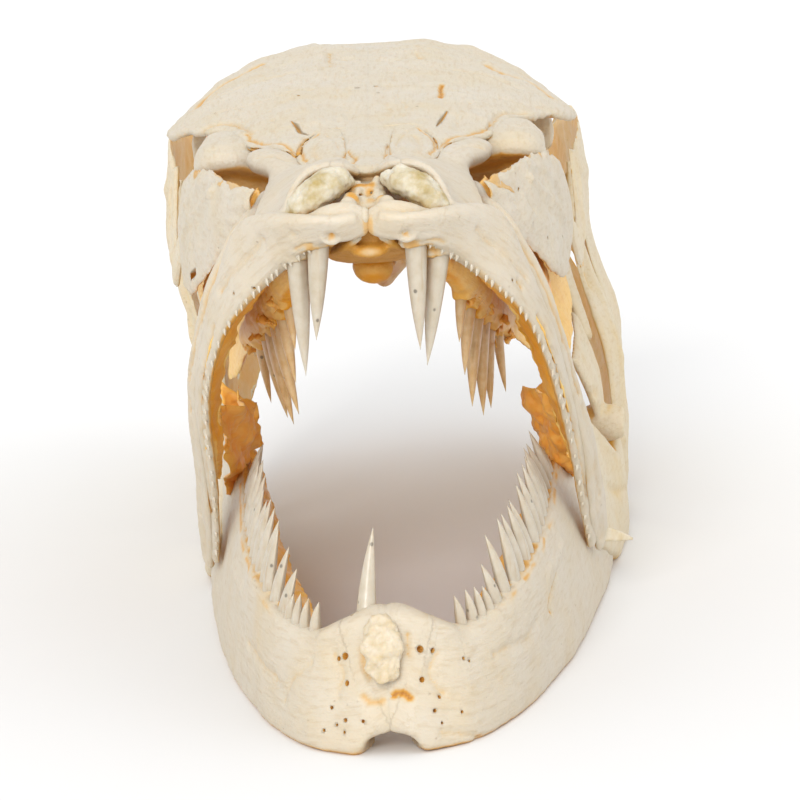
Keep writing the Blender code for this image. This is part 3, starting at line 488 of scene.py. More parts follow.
def plate(net, thick, rim, bevel=0.8, joined=None, sink=0.3):
    # A thin curved bone from a net of points on its middle surface: full on its outer face,
    # thinning from inside towards its edges. Rows that are joined have no rim at their first point.
    net = np.array(net, float)
    n, m = net.shape[:2]
    du, dv = np.gradient(net, axis=0), np.gradient(net, axis=1)
    out = np.cross(du, dv)
    out /= np.maximum(np.linalg.norm(out, axis=2), 1e-9)[..., None]
    middle = net.reshape(-1, 3).mean(0) - (0, float(net[..., 1].mean()), skull["mouthHeight"])
    if out.reshape(-1, 3).mean(0) @ middle < 0:
        out = -out
    # Distance to the nearest edge, along the net
    alongU = np.cumsum(np.linalg.norm(np.diff(net, axis=0, prepend=net[:1]), axis=2), axis=0)
    alongV = np.cumsum(np.linalg.norm(np.diff(net, axis=1, prepend=net[:, :1]), axis=2), axis=1)
    first = alongV + 9.0 * (np.zeros(n) if joined is None else joined)[:, None]
    edge = np.minimum(np.minimum(alongU, alongU[-1:] - alongU), np.minimum(first, alongV[:, -1:] - alongV))
    body = ramp(edge, 0, 3.0)
    wall = thick * (rim + (1 - rim) * body)
    face = net + out * (thick / 2 - thick * sink * (1 - ramp(edge, 0, bevel)))[..., None]
    back = net + out * (thick / 2 - wall)[..., None]
    rows = [np.vstack([face[k], back[k][::-1]]) for k in range(n)]
    points, quads = ringSolid(rows)[:2]
    points = points[:-2]
    # The two ends are closed with strips between face and back.
    quads = [quads]
    for k in (0, n - 1):
        base = k * 2 * m
        i = np.arange(m - 1)
        strip = np.stack([base + i, base + i + 1, base + 2 * m - 2 - i, base + 2 * m - 1 - i], axis=1)
        quads.append(strip[:, ::-1] if k == 0 else strip)
    quads = np.vstack(quads)
    if (faceOut(points, quads).reshape(n, 2 * m, 3)[:, :m] * out).sum() < 0:
        quads = quads[:, ::-1]
    return points, quads


def between(edgeA, edgeB, steps, across, bulge=(0, 0, 0), ragged=0.0, seed=0):
    # A net between two smooth edges, bellied out in the middle, with its outline roughened.
    a, b = through(edgeA, steps), through(edgeB, steps)
    f = np.linspace(0, 1, across)[None, :, None]
    if ragged:
        way = (b - a) / np.linalg.norm(b - a, axis=1)[:, None]
        shakes = [(cloud(edge, 5.0, seed + k) + 0.5 * cloud(edge, 1.6, seed + k + 1))[:, None] * ragged
                  for edge, k in ((a, 0), (b, 2))]
        a, b = a + way * np.abs(shakes[0]), b - way * np.abs(shakes[1])
    return a[:, None] * (1 - f) + b[:, None] * f + np.array(bulge, float) * 4 * f * (1 - f)


def flipSide(points, side):
    points = np.array(points, float)
    points[..., 0] *= side
    return points


# Finishes

def hexColour(code):
    # sRGB hex to linear.
    channels = [int(code[i:i + 2], 16) / 255 for i in (1, 3, 5)]
    return tuple(c / 12.92 if c <= 0.04045 else ((c + 0.055) / 1.055) ** 2.4 for c in channels) + (1.0,)


def addNode(tree, kind, settings=None, inputs=None):
    # Adds a node, sets its properties, and sets or links its inputs.
    made = tree.nodes.new("ShaderNode" + kind)
    for key, setting in (settings or {}).items():
        setattr(made, key, setting)
    for key, source in (inputs or {}).items():
        if isinstance(source, bpy.types.NodeSocket):
            tree.links.new(source, made.inputs[key])
        else:
            made.inputs[key].default_value = source
    return made


rangeInputs = ("Value", "From Min", "From Max", "To Min", "To Max")


def newMaterial(name):
    material = bpy.data.materials.new(name)
    material.use_nodes = True
    tree = material.node_tree
    return material, tree, tree.nodes["Principled BSDF"]


bonePattern = {
    # 1 / size in metres, detail, roughness; the fibres are set in the grain's own millimetres
    "noises": {
        "patches": (1 / 0.011, 3.0, 0.55),    # cloudy difference of tone, 8 to 15 mm wide
        "mottle": (1 / 0.0022, 3.0, 0.6),
        "fibres": (1.5, 4.0, 0.62),           # about 0.5 mm apart, along the bone
        "tooth": (1 / 0.00045, 2.0, 0.5),
    },
    "pins": 1 / 0.0019,                       # pinholes about 0.15 mm wide, drawn at 0.3 mm so that they show
    "pinColour": "#6e4520", "pinShare": 0.55,
    "fleck": 0.12,                            # how much the mottle varies the grease and painted shade
    "relief": (("fibres", 0.55), ("tooth", 0.22), ("mottle", 0.25), ("pins", -0.6)),
    "reliefHeight": 0.00035,
    "steps": (0.55, 0.1, 0.55, 1.0),          # grease and painted shade where the bone's own tone ends, then honey, amber and burnt
}


def boneMaterial(name, look):
    # Fish bone, degreased and sun-bleached: dense, faintly waxy, with fine fibres and pinholes.
    material, tree, shader = newMaterial(name)
    pattern = bonePattern
    geometry = addNode(tree, "NewGeometry").outputs
    stain = addNode(tree, "Attribute", {"attribute_name": "stain"}).outputs["Fac"]
    grain = addNode(tree, "Attribute", {"attribute_name": "grain"}).outputs["Vector"]
    tone = {}
    for key, (scale, detail, roughness) in pattern["noises"].items():
        tone[key] = addNode(tree, "TexNoise", None, {
            "Scale": scale, "Detail": detail, "Roughness": roughness,
            "Vector": grain if key == "fibres" else geometry["Position"]}).outputs["Fac"]
    spots = addNode(tree, "TexVoronoi", {"feature": "F1"}, {
        "Scale": pattern["pins"], "Randomness": 1.0, "Vector": geometry["Position"]}).outputs["Distance"]
    # Painted shade: where ambient occlusion finds a hollow, the colour runs towards honey, amber and burnt. This
    # stands in for the shade there as well as for grease.
    hollow = addNode(tree, "AmbientOcclusion", {"samples": 8}, {"Distance": look["hollowReach"]}).outputs["AO"]
    for key, *span in (
            ("pins", spots, 0.05, 0.14, 1.0, 0.0),
            ("pinZone", tone["mottle"], 0.52, 0.72, 0.0, 1.0),
            ("shade", hollow, 0.0, look["hollowFrom"], look["hollowStain"], 0.0),
            ("wash", tone["patches"], 0.45, 0.8, 0.0, look["wash"]),
            # Painted shade in the fine creases of the surface
            ("crease", geometry["Pointiness"], 0.42, 0.495, look["crevice"], 0.0),
            ("streak", tone["fibres"], 0.5, 0.78, 0.0, 0.5),
            ("rough", tone["mottle"], 0.0, 1.0, *look["rough"])):
        tone[key] = addNode(tree, "MapRange", None, dict(zip(rangeInputs, span))).outputs["Result"]

    # Each line works out one share: its name, the operation and what it works on
    # The grease share also carries the painted shade of the hollows and creases
    tone["grease"] = stain
    for key, operation, first, second in (
            ("pins", "MULTIPLY", "pins", "pinZone"), ("grease", "MAXIMUM", "grease", "shade"),
            ("grease", "MAXIMUM", "grease", "crease"), ("grease", "ADD", "grease", "wash"),
            ("fleck", "SUBTRACT", "mottle", 0.5), ("fleck", "MULTIPLY", "fleck", pattern["fleck"]),
            ("grease", "ADD", "grease", "fleck"), ("pinFill", "MULTIPLY", "pins", pattern["pinShare"])):
        tone[key] = addNode(tree, "Math", {"operation": operation, "use_clamp": second == "fleck"},
                            {0: tone[first], 1: tone.get(second, second)}).outputs[0]

    ladder = addNode(tree, "ValToRGB", None, {"Fac": tone["grease"]})
    ladder.color_ramp.interpolation = "EASE"
    deep = addNode(tree, "ValToRGB", None, {"Fac": tone["grease"]})
    rungs, depths = ladder.color_ramp.elements, deep.color_ramp.elements
    rungs[0].position, rungs[0].color = 0.0, (0, 0, 0, 1)
    rungs[1].position, rungs[1].color = pattern["steps"][0], (1, 1, 1, 1)
    depths[0].position, depths[0].color = pattern["steps"][1], hexColour(look["honey"])
    depths[1].position, depths[1].color = pattern["steps"][3], hexColour(look["burnt"])
    depths.new(pattern["steps"][2]).color = hexColour(look["amber"])
    colour = hexColour(look["pale"])
    for factor, over in ((tone["patches"], hexColour(look["warm"])), (tone["streak"], hexColour(look["streak"])),
                         (ladder.outputs["Color"], deep.outputs["Color"]),
                         (tone["pinFill"], hexColour(pattern["pinColour"]))):
        colour = addNode(tree, "Mix", {"data_type": "RGBA"}, {0: factor, 6: colour, 7: over}).outputs[2]

    height = 0.0
    for key, share in pattern["relief"]:
        part = addNode(tree, "Math", {"operation": "MULTIPLY"}, {0: tone[key], 1: share}).outputs[0]
        height = addNode(tree, "Math", {"operation": "ADD"}, {0: height, 1: part}).outputs[0]
    bump = addNode(tree, "Bump", None, {
        "Strength": look["bump"], "Distance": pattern["reliefHeight"], "Height": height})
    tree.links.new(colour, shader.inputs["Base Color"])
    tree.links.new(tone["rough"], shader.inputs["Roughness"])
    tree.links.new(bump.outputs["Normal"], shader.inputs["Normal"])
    for key, setting in (("IOR", 1.5), ("Specular IOR Level", 0.42), ("Subsurface Weight", look["glow"]),
                         ("Subsurface Radius", (1.0, 0.66, 0.4)), ("Subsurface Scale", 0.0022)):
        shader.inputs[key].default_value = setting
    return material


boneLooks = {
    # Roof and snout: bleached almost white, satin
    "sunBleachedBone": {
        "pale": "#c9c2b7", "warm": "#c6b798", "streak": "#b39b74", "honey": "#d3ad62", "amber": "#c8903a",
        "burnt": "#985a0e", "rough": (0.42, 0.62), "bump": 0.9, "glow": 0.14, "wash": 0.1, "crevice": 0.5,
        "hollowReach": 0.005, "hollowFrom": 0.42, "hollowStain": 0.62,
    },
    # The jaws: thicker, and a little creamier
    "ivoryBone": {
        "pale": "#cbc3b6", "warm": "#c4b599", "streak": "#b19a75", "honey": "#d3ad62", "amber": "#c8903a",
        "burnt": "#985a0e", "rough": (0.4, 0.6), "bump": 0.9, "glow": 0.14, "wash": 0.12, "crevice": 0.5,
        "hollowReach": 0.005, "hollowFrom": 0.42, "hollowStain": 0.62,
    },
    # Gill cover, braincase and jaw joint: cream with more grease left
    "creamBone": {
        "pale": "#d4cbb8", "warm": "#cbb78f", "streak": "#b89a61", "honey": "#d8b258", "amber": "#d29a34",
        "burnt": "#a8640e", "rough": (0.4, 0.6), "bump": 0.75, "glow": 0.16, "wash": 0.14, "crevice": 0.5,
        "hollowReach": 0.006, "hollowFrom": 0.45, "hollowStain": 0.38,
    },
    # Palate and the thin walls inside the mouth: honey to amber, grease-soaked
    "greaseAmberBone": {
        "pale": "#f0cf86", "warm": "#e4ac4c", "streak": "#d29034", "honey": "#e8b048", "amber": "#de961e",
        "burnt": "#ae660c", "rough": (0.34, 0.55), "bump": 0.8, "glow": 0.2, "wash": 0.35, "crevice": 0.35,
        "hollowReach": 0.007, "hollowFrom": 0.6, "hollowStain": 0.7,
    },
}
finishes = {name: boneMaterial(name, look) for name, look in boneLooks.items()}
print("bone finishes ready")


softPattern = {
    "roots": 0.85, "rootWander": 0.12,   # how strongly a tooth's foot is stained, and how unevenly
    "cracks": 1 / 0.0009,                # hairline age cracks up the tooth, drawn out this much
    "crackStretch": (1.0, 1.0, 0.12),
    "specks": 1 / 0.0034,
    "hollowReach": 0.003, "hollowFrom": 0.6,
    "reliefHeight": 0.0003,
}


def simpleMaterial(name, look):
    # Teeth, cartilage and dried flesh: one body colour, and for teeth a stained root, cracks and specks; hollows
    # get painted shade.
    material, tree, shader = newMaterial(name)
    pattern = softPattern
    place = addNode(tree, "NewGeometry").outputs["Position"]
    mottle = addNode(tree, "TexNoise", None, {
        "Scale": 1 / look["grainSize"], "Detail": 4.0, "Roughness": 0.6, "Vector": place}).outputs["Fac"]
    hollow = addNode(tree, "AmbientOcclusion", {"samples": 8}, {"Distance": pattern["hollowReach"]}).outputs["AO"]
    # Each layer: its colour, what it follows, from low to high, and how strong it is at either end
    layers = [("warm", mottle, 0.5 - look["patchy"], 0.5 + look["patchy"], 0.0, 1.0)]
    if "root" in look:
        reach = addNode(tree, "Attribute", {"attribute_name": "along"}).outputs["Fac"]
        wander = addNode(tree, "Math", {"operation": "MULTIPLY"}, {0: mottle, 1: pattern["rootWander"]}).outputs[0]
        fromRoot = addNode(tree, "Math", {"operation": "ADD"}, {0: reach, 1: wander}).outputs[0]
        drawnOut = addNode(tree, "VectorMath", {"operation": "MULTIPLY"},
                           {0: place, 1: pattern["crackStretch"]}).outputs[0]
        lines = addNode(tree, "TexNoise", None, {
            "Scale": pattern["cracks"], "Detail": 2.0, "Vector": drawnOut}).outputs["Fac"]
        specks = addNode(tree, "TexVoronoi", {"feature": "F1"}, {
            "Scale": pattern["specks"], "Vector": place}).outputs["Distance"]
        layers += [("root", fromRoot, 0.0, look["rootReach"], pattern["roots"], 0.0),
                   ("line", lines, 0.6, 0.74, 0.0, 0.45), ("speck", specks, 0.06, 0.11, 0.75, 0.0)]
    # Painted shade: hollows found by ambient occlusion take the deep colour
    layers.append(("deep", hollow, 0.0, pattern["hollowFrom"], look["hollowStain"], 0.0))
    colour = hexColour(look["pale"])
    for key, *span in layers:
        share = addNode(tree, "MapRange", None, dict(zip(rangeInputs, span))).outputs["Result"]
        colour = addNode(tree, "Mix", {"data_type": "RGBA"},
                         {0: share, 6: colour, 7: hexColour(look[key])}).outputs[2]
    bump = addNode(tree, "Bump", None, {
        "Strength": look["bump"], "Distance": pattern["reliefHeight"], "Height": mottle})
    tree.links.new(colour, shader.inputs["Base Color"])
    tree.links.new(bump.outputs["Normal"], shader.inputs["Normal"])
    for key, setting in (("Roughness", look["rough"]), ("IOR", look["ior"]), ("Subsurface Weight", look["glow"]),
                         ("Subsurface Radius", (1.0, 0.68, 0.42)), ("Subsurface Scale", 0.0018)):
        shader.inputs[key].default_value = setting
    return material


# In each look, deep is the colour of the painted shade in its hollows
softLooks = {
    # Enamelled dentine of the teeth: ivory, smoother than the bone, brown where it leaves the socket
    "toothDentine": {
        "pale": "#c3bbac", "warm": "#b2a48b", "root": "#bf9355", "line": "#a88a5e", "speck": "#51493c",
        "deep": "#b47a38", "rootReach": 0.22, "grainSize": 0.0016, "hollowStain": 0.4, "patchy": 0.32,
        "bump": 0.25, "rough": 0.3, "ior": 1.6, "glow": 0.2,
    },
    # The same on the palate, where it has taken up grease: tan and half clear
    "greaseDentine": {
        "pale": "#d8c096", "warm": "#c39a5e", "root": "#a8712e", "line": "#96703c", "speck": "#51493c",
        "deep": "#a8681f", "rootReach": 0.3, "grainSize": 0.0016, "hollowStain": 0.6, "patchy": 0.3,
        "bump": 0.25, "rough": 0.3, "ior": 1.6, "glow": 0.3,
    },
    # Gristle of the snout dried hard: matt, greenish straw, wrinkled
    "driedCartilage": {
        "pale": "#d2ccbc", "warm": "#a8935a", "deep": "#b08440", "grainSize": 0.0034,
        "hollowStain": 0.7, "patchy": 0.18, "bump": 0.6, "rough": 0.6, "ior": 1.5, "glow": 0.22,
    },
    # The chin's gristle, bleached to the colour of the bone round it
    "bleachedCartilage": {
        "pale": "#d2c8b6", "warm": "#c1ad86", "deep": "#b58a4c",
        "grainSize": 0.0015, "hollowStain": 0.6, "patchy": 0.26, "bump": 0.6, "rough": 0.6, "ior": 1.5, "glow": 0.2,
    },
    # Gum and skin dried to thin glue in the corners of the mouth: amber, half clear
    "driedFlesh": {
        "pale": "#f2c068", "warm": "#e8992a", "deep": "#c26a10",
        "grainSize": 0.0022, "hollowStain": 0.7, "patchy": 0.26, "bump": 0.5, "rough": 0.4, "ior": 1.5, "glow": 0.3,
    },
}
finishes.update({name: simpleMaterial(name, look) for name, look in softLooks.items()})
print("finishes ready")


# Skull roof and snout

roofShape = {
    "line": ((20, 78.4), (60, 78.7), (85, 79.2), (100, 80.2), (140, 82.8), (165, 83.7), (175, 83.0)),
    "drop": ((20, 1.0), (60, 1.6), (80, 2.2), (100, 3.4), (110, 4.4), (120, 6.2), (141, 9.8), (152, 5.6),
             (165, 1.2), (175, 1.0)),
    "half": ((20, 6), (60, 12), (80, 17.5), (97, 21.6), (110, 25.5), (122, 31), (141, 34.5), (152, 28), (165, 19),
             (175, 14)),
    "base": ((20, 67.5), (40, 65), (60, 62), (80, 59.8), (100, 57.2), (120, 54), (140, 51), (160, 49.5), (186, 50)),
    "thick": 2.1,
}


def roofHeight(x, y):
    share = np.minimum(np.abs(x) / readTable(roofShape["half"], y), 1.15)
    height = readTable(roofShape["line"], y) - readTable(roofShape["drop"], y) * share**3.2
    rear = np.clip((y - 126) / 30, 0, 1)
    crest = np.exp(-(((np.abs(x) - 9.5) / 2.6) ** 2))
    hollow = np.exp(-(((np.abs(x) - 15.5) / 3.6) ** 2))
    return height + rear * (0.35 * crest - 0.5 * hollow)


frontalShape = {
    "inner": ((10.6, 65.8), (10.5, 71), (10.0, 76), (8.9, 81), (6.4, 84.9), (-0.8, 85.0),
              (-0.8, 100), (-0.8, 116), (-0.8, 132), (-0.8, 146), (-0.8, 158), (-0.8, 171)),
    "outer": ((11.3, 65.8), (12.3, 71), (13.9, 76), (16.7, 81.5), (19.5, 88), (21.2, 97),
              (24.2, 108), (29.4, 119), (33.6, 131), (34.2, 142), (27.0, 154), (17.6, 167.5)),
    "heart": (15.0, 122.0),          # the bone grew outwards from here
    "steps": 270, "across": 92, "lines": (0.07, 46),   # depth and number of the growth lines
    "finish": "sunBleachedBone", "relief": (0.36, 0.07), "greasy": 0.5,
    # (path on the roof, half width, depth, stain)
    "right": [
        (((-27.5, 114.6, 76), (-25.7, 112.7, 77), (-22.6, 108.7, 78.4), (-21.1, 102.6, 78.6), (-19.0, 95, 78)),
         0.45, 0.5, 0.4),
        (((-30.0, 123, 75), (-24, 119, 79), (-17, 117, 80.4), (-9, 119.6, 81.5)), 0.5, 0.22, 0.12),
        (((-7.9, 153, 84), (-8.9, 140.4, 83.4), (-8.2, 128, 82.4)), 0.8, -0.35, 0.0),
        (((-6.8, 153.3, 83.5), (-6.3, 140, 83)), 0.5, 0.4, 0.3),
        (((-9.2, 79, 79.2), (-8.9, 64.9, 78.7)), 0.8, 0.25, 0.5),
        (((-4.5, 88, 80.4), (-5.6, 100, 81), (-5.2, 116, 81.6), (-3.6, 134, 82.7)), 0.55, 0.2, 0.1),
        (((-14.6, 84, 78.6), (-15.4, 96, 79.6), (-16.5, 108, 80)), 0.6, 0.24, 0.12),
        (((-18.6, 156.6, 82.3), (-24.3, 150.5, 80.6), (-28.7, 147.4, 78), (-30.7, 139.9, 76)), 0.9, 0.45, 0.65),
        (((-12, 138, 82.8), (-20, 136, 80.8), (-28, 133, 77)), 0.6, 0.25, 0.2),
        (((-3.5, 146.7, 83.3),), 1.5, 0.5, 0.1),
        (((-1.5, 91, 80.6), (-1.8, 103, 81.1)), 0.4, 0.16, 0.12),
        (((-11.2, 66, 78.6), (-13.2, 75, 78.9), (-16.2, 81.3, 79), (-19.0, 88, 79), (-20.6, 96, 79)), 0.4, 0.35,
         0.6),
        (((-3.2, 88, 80.2), (-3.0, 96, 80.6), (-4.0, 106, 81.2), (-3.0, 118, 81.8)), 0.9, 0.3, 0.2),
        (((-9.0, 90, 80.0), (-10.6, 104, 80.8), (-12.4, 120, 81.4)), 1.6, -0.4, 0.0),
    ],
    "left": [
        (((26.6, 112.1, 77), (22.5, 106.1, 78), (20.7, 99, 78), (19.6, 92, 78)), 0.45, 0.5, 0.4),
        (((30.0, 122, 75), (23, 116, 79), (16, 114, 80.4), (8, 118.6, 81.5)), 0.5, 0.2, 0.12),
        (((7.6, 146.4, 83.5), (9, 153.5, 84)), 0.8, -0.3, 0.0),
        (((8.2, 148.2, 84), (9.5, 142.3, 83.6)), 0.5, 0.4, 0.3),
        (((12.5, 118.4, 81.4), (12.2, 113, 81.1), (12, 107.7, 80.8)), 0.4, 0.6, 0.85),
        (((4.5, 88, 80.4), (6.4, 99, 81), (5.0, 112, 81.4), (4.4, 132, 82.7)), 0.55, 0.2, 0.1),
        (((14.2, 84, 78.6), (14.8, 95, 79.6), (16.8, 107, 80)), 0.6, 0.24, 0.12),
        (((20.6, 144.9, 81.1), (23.4, 139.3, 80), (27.3, 141.1, 78.2), (31, 136, 75.6)), 0.9, 0.4, 0.6),
        (((12, 136, 82.8), (19, 133, 80.8), (27, 129, 77)), 0.6, 0.25, 0.15),
        (((4.7, 144.4, 83.2),), 1.7, 0.6, 0.15),
        (((2.1, 145.1, 83.3),), 1.0, 0.4, 0.1),
        (((11.2, 66, 78.6), (13.2, 75, 78.9), (16.2, 81.3, 79), (19.0, 88, 79), (20.6, 96, 79)), 0.4, 0.35, 0.6),
        (((2.8, 88, 80.2), (3.4, 98, 80.6), (2.6, 108, 81.2), (3.4, 120, 81.8)), 0.9, 0.3, 0.2),
        (((8.6, 90, 80.0), (10.0, 104, 80.8), (11.8, 120, 81.4)), 1.6, -0.4, 0.0),
    ],
    # Slots and nerve pores right through the roof: (path, half width, depth)
    "rightSlots": [
        (((-12.4, 93.6, 79.9), (-11.4, 88.5, 79.7), (-10.8, 84.7, 79.4), (-9.4, 81.2, 79.2)), 0.5, 1.4),
        (((-1.7, 118.4, 81.9),), 0.42, 1.4), (((-11.5, 113.6, 81.2),), 0.26, 1.2), (((-9.3, 64.3, 79),), 0.25, 1.2),
    ],
    "leftSlots": [
        (((12.9, 96.3, 79.9), (12.3, 93, 79.8), (11.8, 89.7, 79.6), (11.0, 83.5, 79.2)), 0.45, 1.4),
        (((1.4, 119.2, 81.9),), 0.38, 1.4), (((1.9, 112.9, 81.6),), 0.26, 1.2),
        (((9.7, 63.4, 78.7),), 0.25, 1.2), (((8.1, 98.6, 80.7),), 0.24, 1.2),
    ],
}


# The lines' sway and its size, the size of their breaks, the rings' pitch, sway, size and share,
# and how far out the lines are at their full height
roofLines = {"sway": (0.22, 12.0), "breaks": 5.0, "rings": (1.5, 3, 9.0, 0.3), "full": 22}
cheekLines = {"sway": (0.2, 14.0), "breaks": 6.0, "rings": (1.1, 2.5, 10.0, 0.45), "full": 20}


def growthLines(points, heart, axes, look, lines, seed):
    # Fine ridges that fan out from where the bone began to grow, with faint rings across them.
    depth, count = lines
    sway, swaySize = look["sway"]
    pitch, ringSway, ringSize, ringShare = look["rings"]
    arm = points[:, axes] - np.array(heart)
    reach = np.linalg.norm(arm, axis=1)
    angle = np.arctan2(arm[:, 1], arm[:, 0]) + cloud(points, swaySize, seed) * sway
    ridges = np.sin(angle * count) * (0.6 + 0.4 * cloud(points, look["breaks"], seed + 1))
    rings = np.sin(reach * pitch + ringSway * cloud(points, ringSize, seed + 2)) * ringShare
    return depth * (ridges * ramp(reach, 3, look["full"]) + rings)


def makeFrontal(label, side):
    look = frontalShape
    inner, outer = through(look["inner"], look["steps"]), through(look["outer"], look["steps"])
    onPlan = np.column_stack([outer, outer[:, 0] * 0])
    shake = cloud(onPlan, 4.0, 60 + side) + 0.6 * cloud(onPlan, 1.5, 66 + side)
    shake *= ramp(outer[:, 1], 86, 98)   # only the free edge behind the nose is uneven
    outer = outer + np.column_stack([shake * 0.3, shake * 0.12])
    f = np.linspace(0, 1, look["across"])[None, :, None]
    flat = inner[:, None] * (1 - f) + outer[:, None] * f
    x, y = flat[..., 0], flat[..., 1]
    # The two halves have grown together: past the middle each one dips under the other.
    z = roofHeight(x, y) - roofShape["thick"] / 2 - 0.35 * ramp(-x, 0.0, 0.8)
    joined = ramp(inner[:, 1], 85.0, 87.0)
    net = np.stack([side * x, y, z], axis=2)
    points, quads = plate(net, roofShape["thick"], rim=0.5, bevel=0.5, joined=joined, sink=0.14)
    heart = (side * look["heart"][0], look["heart"][1])
    lines = growthLines(points, heart, (0, 1), roofLines, look["lines"], 3 + side)
    points = points + faceOut(points, quads) * (lines * ramp(np.abs(points[:, 0]), 0.5, 3.0))[:, None]
    finishBone(f"frontal_bone_{label}", f"frontal_{label}", points, quads, look, 11, look[label],
               holes=look[f"{label}Slots"])


for label, side in sides.items():
    makeFrontal(label, side)
print("roof ready")


nasalShape = {
    # Its edges run a little under its neighbours, which leaves only a fine crack.
    "inner": ((4.7, 48.4), (2.9, 56), (2.6, 64), (3.0, 74), (4.2, 85.2)),
    "outer": ((6.8, 49.0), (9.3, 56), (10.8, 64), (10.7, 73), (8.0, 84.8)),
    "steps": 150, "across": 44, "below": 1.25, "belly": 1.6, "thick": 2.0,
    "finish": "sunBleachedBone", "relief": (0.2, 0.08), "greasy": 0.55,
    "marks": [
        (((4.8, 54, 79), (5.6, 62, 79.0), (6.0, 70, 79.2)), 0.9, -0.2, 0.0),
        (((7.6, 56, 78.8), (8.4, 64, 78.8), (7.6, 74, 79.2)), 0.6, 0.3, 0.3),
        (((9.6, 58, 78.4), (10.6, 66, 78.2), (10.2, 74, 78.4), (8.0, 82, 79.0)), 0.4, 0.4, 0.6),
        (((3.2, 55, 78.9), (2.9, 64, 78.9), (3.4, 76, 79.0)), 0.35, 0.4, 0.6),
        (((4.2, 62, 79.2), (5.0, 71, 79.4), (6.4, 78, 79.3)), 0.4, 0.2, 0.15),
    ],
}


def makeNasal(label, side):
    look = nasalShape
    a, b = through(look["inner"], look["steps"]), through(look["outer"], look["steps"])
    f = np.linspace(0, 1, look["across"])[None, :]
    x = a[:, :1] * (1 - f) + b[:, :1] * f
    y = a[:, 1:] * (1 - f) + b[:, 1:] * f
    z = roofHeight(x, y) - look["below"] + look["belly"] * f * (1 - f)
    points, quads = plate(np.stack([side * x, y, z], axis=2), look["thick"], rim=0.6, bevel=0.9, sink=0.16)
    finishBone(f"nasal_bone_{label}", f"nasal_{label}", points, quads, look, 11, mirrorMarks(look["marks"], side))


snoutShape = {
    # Place, half width of the top strip, of the waist and of the foot, and how far the top rises
    "stations": ((20.5, 2.2, 2.8, 3.4, -3.6), (26, 2.6, 3.8, 5.6, -2.0), (36, 3.1, 5.2, 7.0, 0.0),
                 (50, 3.4, 5.6, 6.0, 0.0), (66, 3.6, 5.2, 5.2, 0.0), (78, 4.1, 4.6, 4.6, 0.0),
                 (86.0, 5.6, 5.6, 4.2, -0.1)),
    "around": 84, "steps": 140, "grit": 0.33,
    "grains": 90, "grainSize": (0.3, 0.62),   # spongy bone on the slope between the arches
    # Centre and radii: the bead at the front, the two knobs beside it and the plate below
    "lumps": (((-0.5, 17.4, 74.8), (0.95, 1.6, 1.5)), ((-2.4, 21.2, 76.0), (1.5, 1.8, 1.9)),
              ((2.1, 20.8, 75.6), (1.2, 1.6, 1.7)), ((0.0, 22.0, 69.3), (3.0, 3.2, 1.3))),
    "straps": (((-1.6, 18.6, 71.6, 0.6, 0.6), (-3.4, 21.0, 70.0, 0.6, 0.6), (-5.4, 26.0, 68.4, 0.7, 0.7)),
               ((1.8, 18.6, 71.6, 0.6, 0.6), (3.6, 21.0, 70.0, 0.6, 0.6), (5.6, 26.0, 68.4, 0.7, 0.7))),
    "bridge": ((-6.2, 32.6, 79.9, 1.6, 0.7), (-3.2, 33.0, 79.6, 2.2, 0.8), (0, 33.4, 79.2, 2.4, 0.8),
               (3.2, 33.0, 79.6, 2.2, 0.8), (6.2, 32.6, 79.9, 1.6, 0.7)),
    "greaseBelow": 0.5,
    "finish": "sunBleachedBone", "relief": (0.12, 0.05), "greasy": 0.3,
    "marks": [
        (((-1.0, 37.6, 78.9), (0.6, 37.4, 78.9), (2.2, 37.2, 78.9)), 0.35, 0.7, 0.95),
        (((0.3, 44, 79), (-0.4, 58, 79.2), (0.5, 74, 79.8)), 0.7, -0.14, 0.0),
        (((-3.4, 62, 79.2), (-1.9, 52, 79.0), (-2.6, 44, 78.9)), 0.35, 0.5, 0.62),
        (((3.6, 66, 79.2), (2.9, 52, 79.0), (3.7, 48, 78.9), (1.6, 40, 78.9), (-0.7, 36, 78.8)), 0.35, 0.5, 0.62),
    ],
}


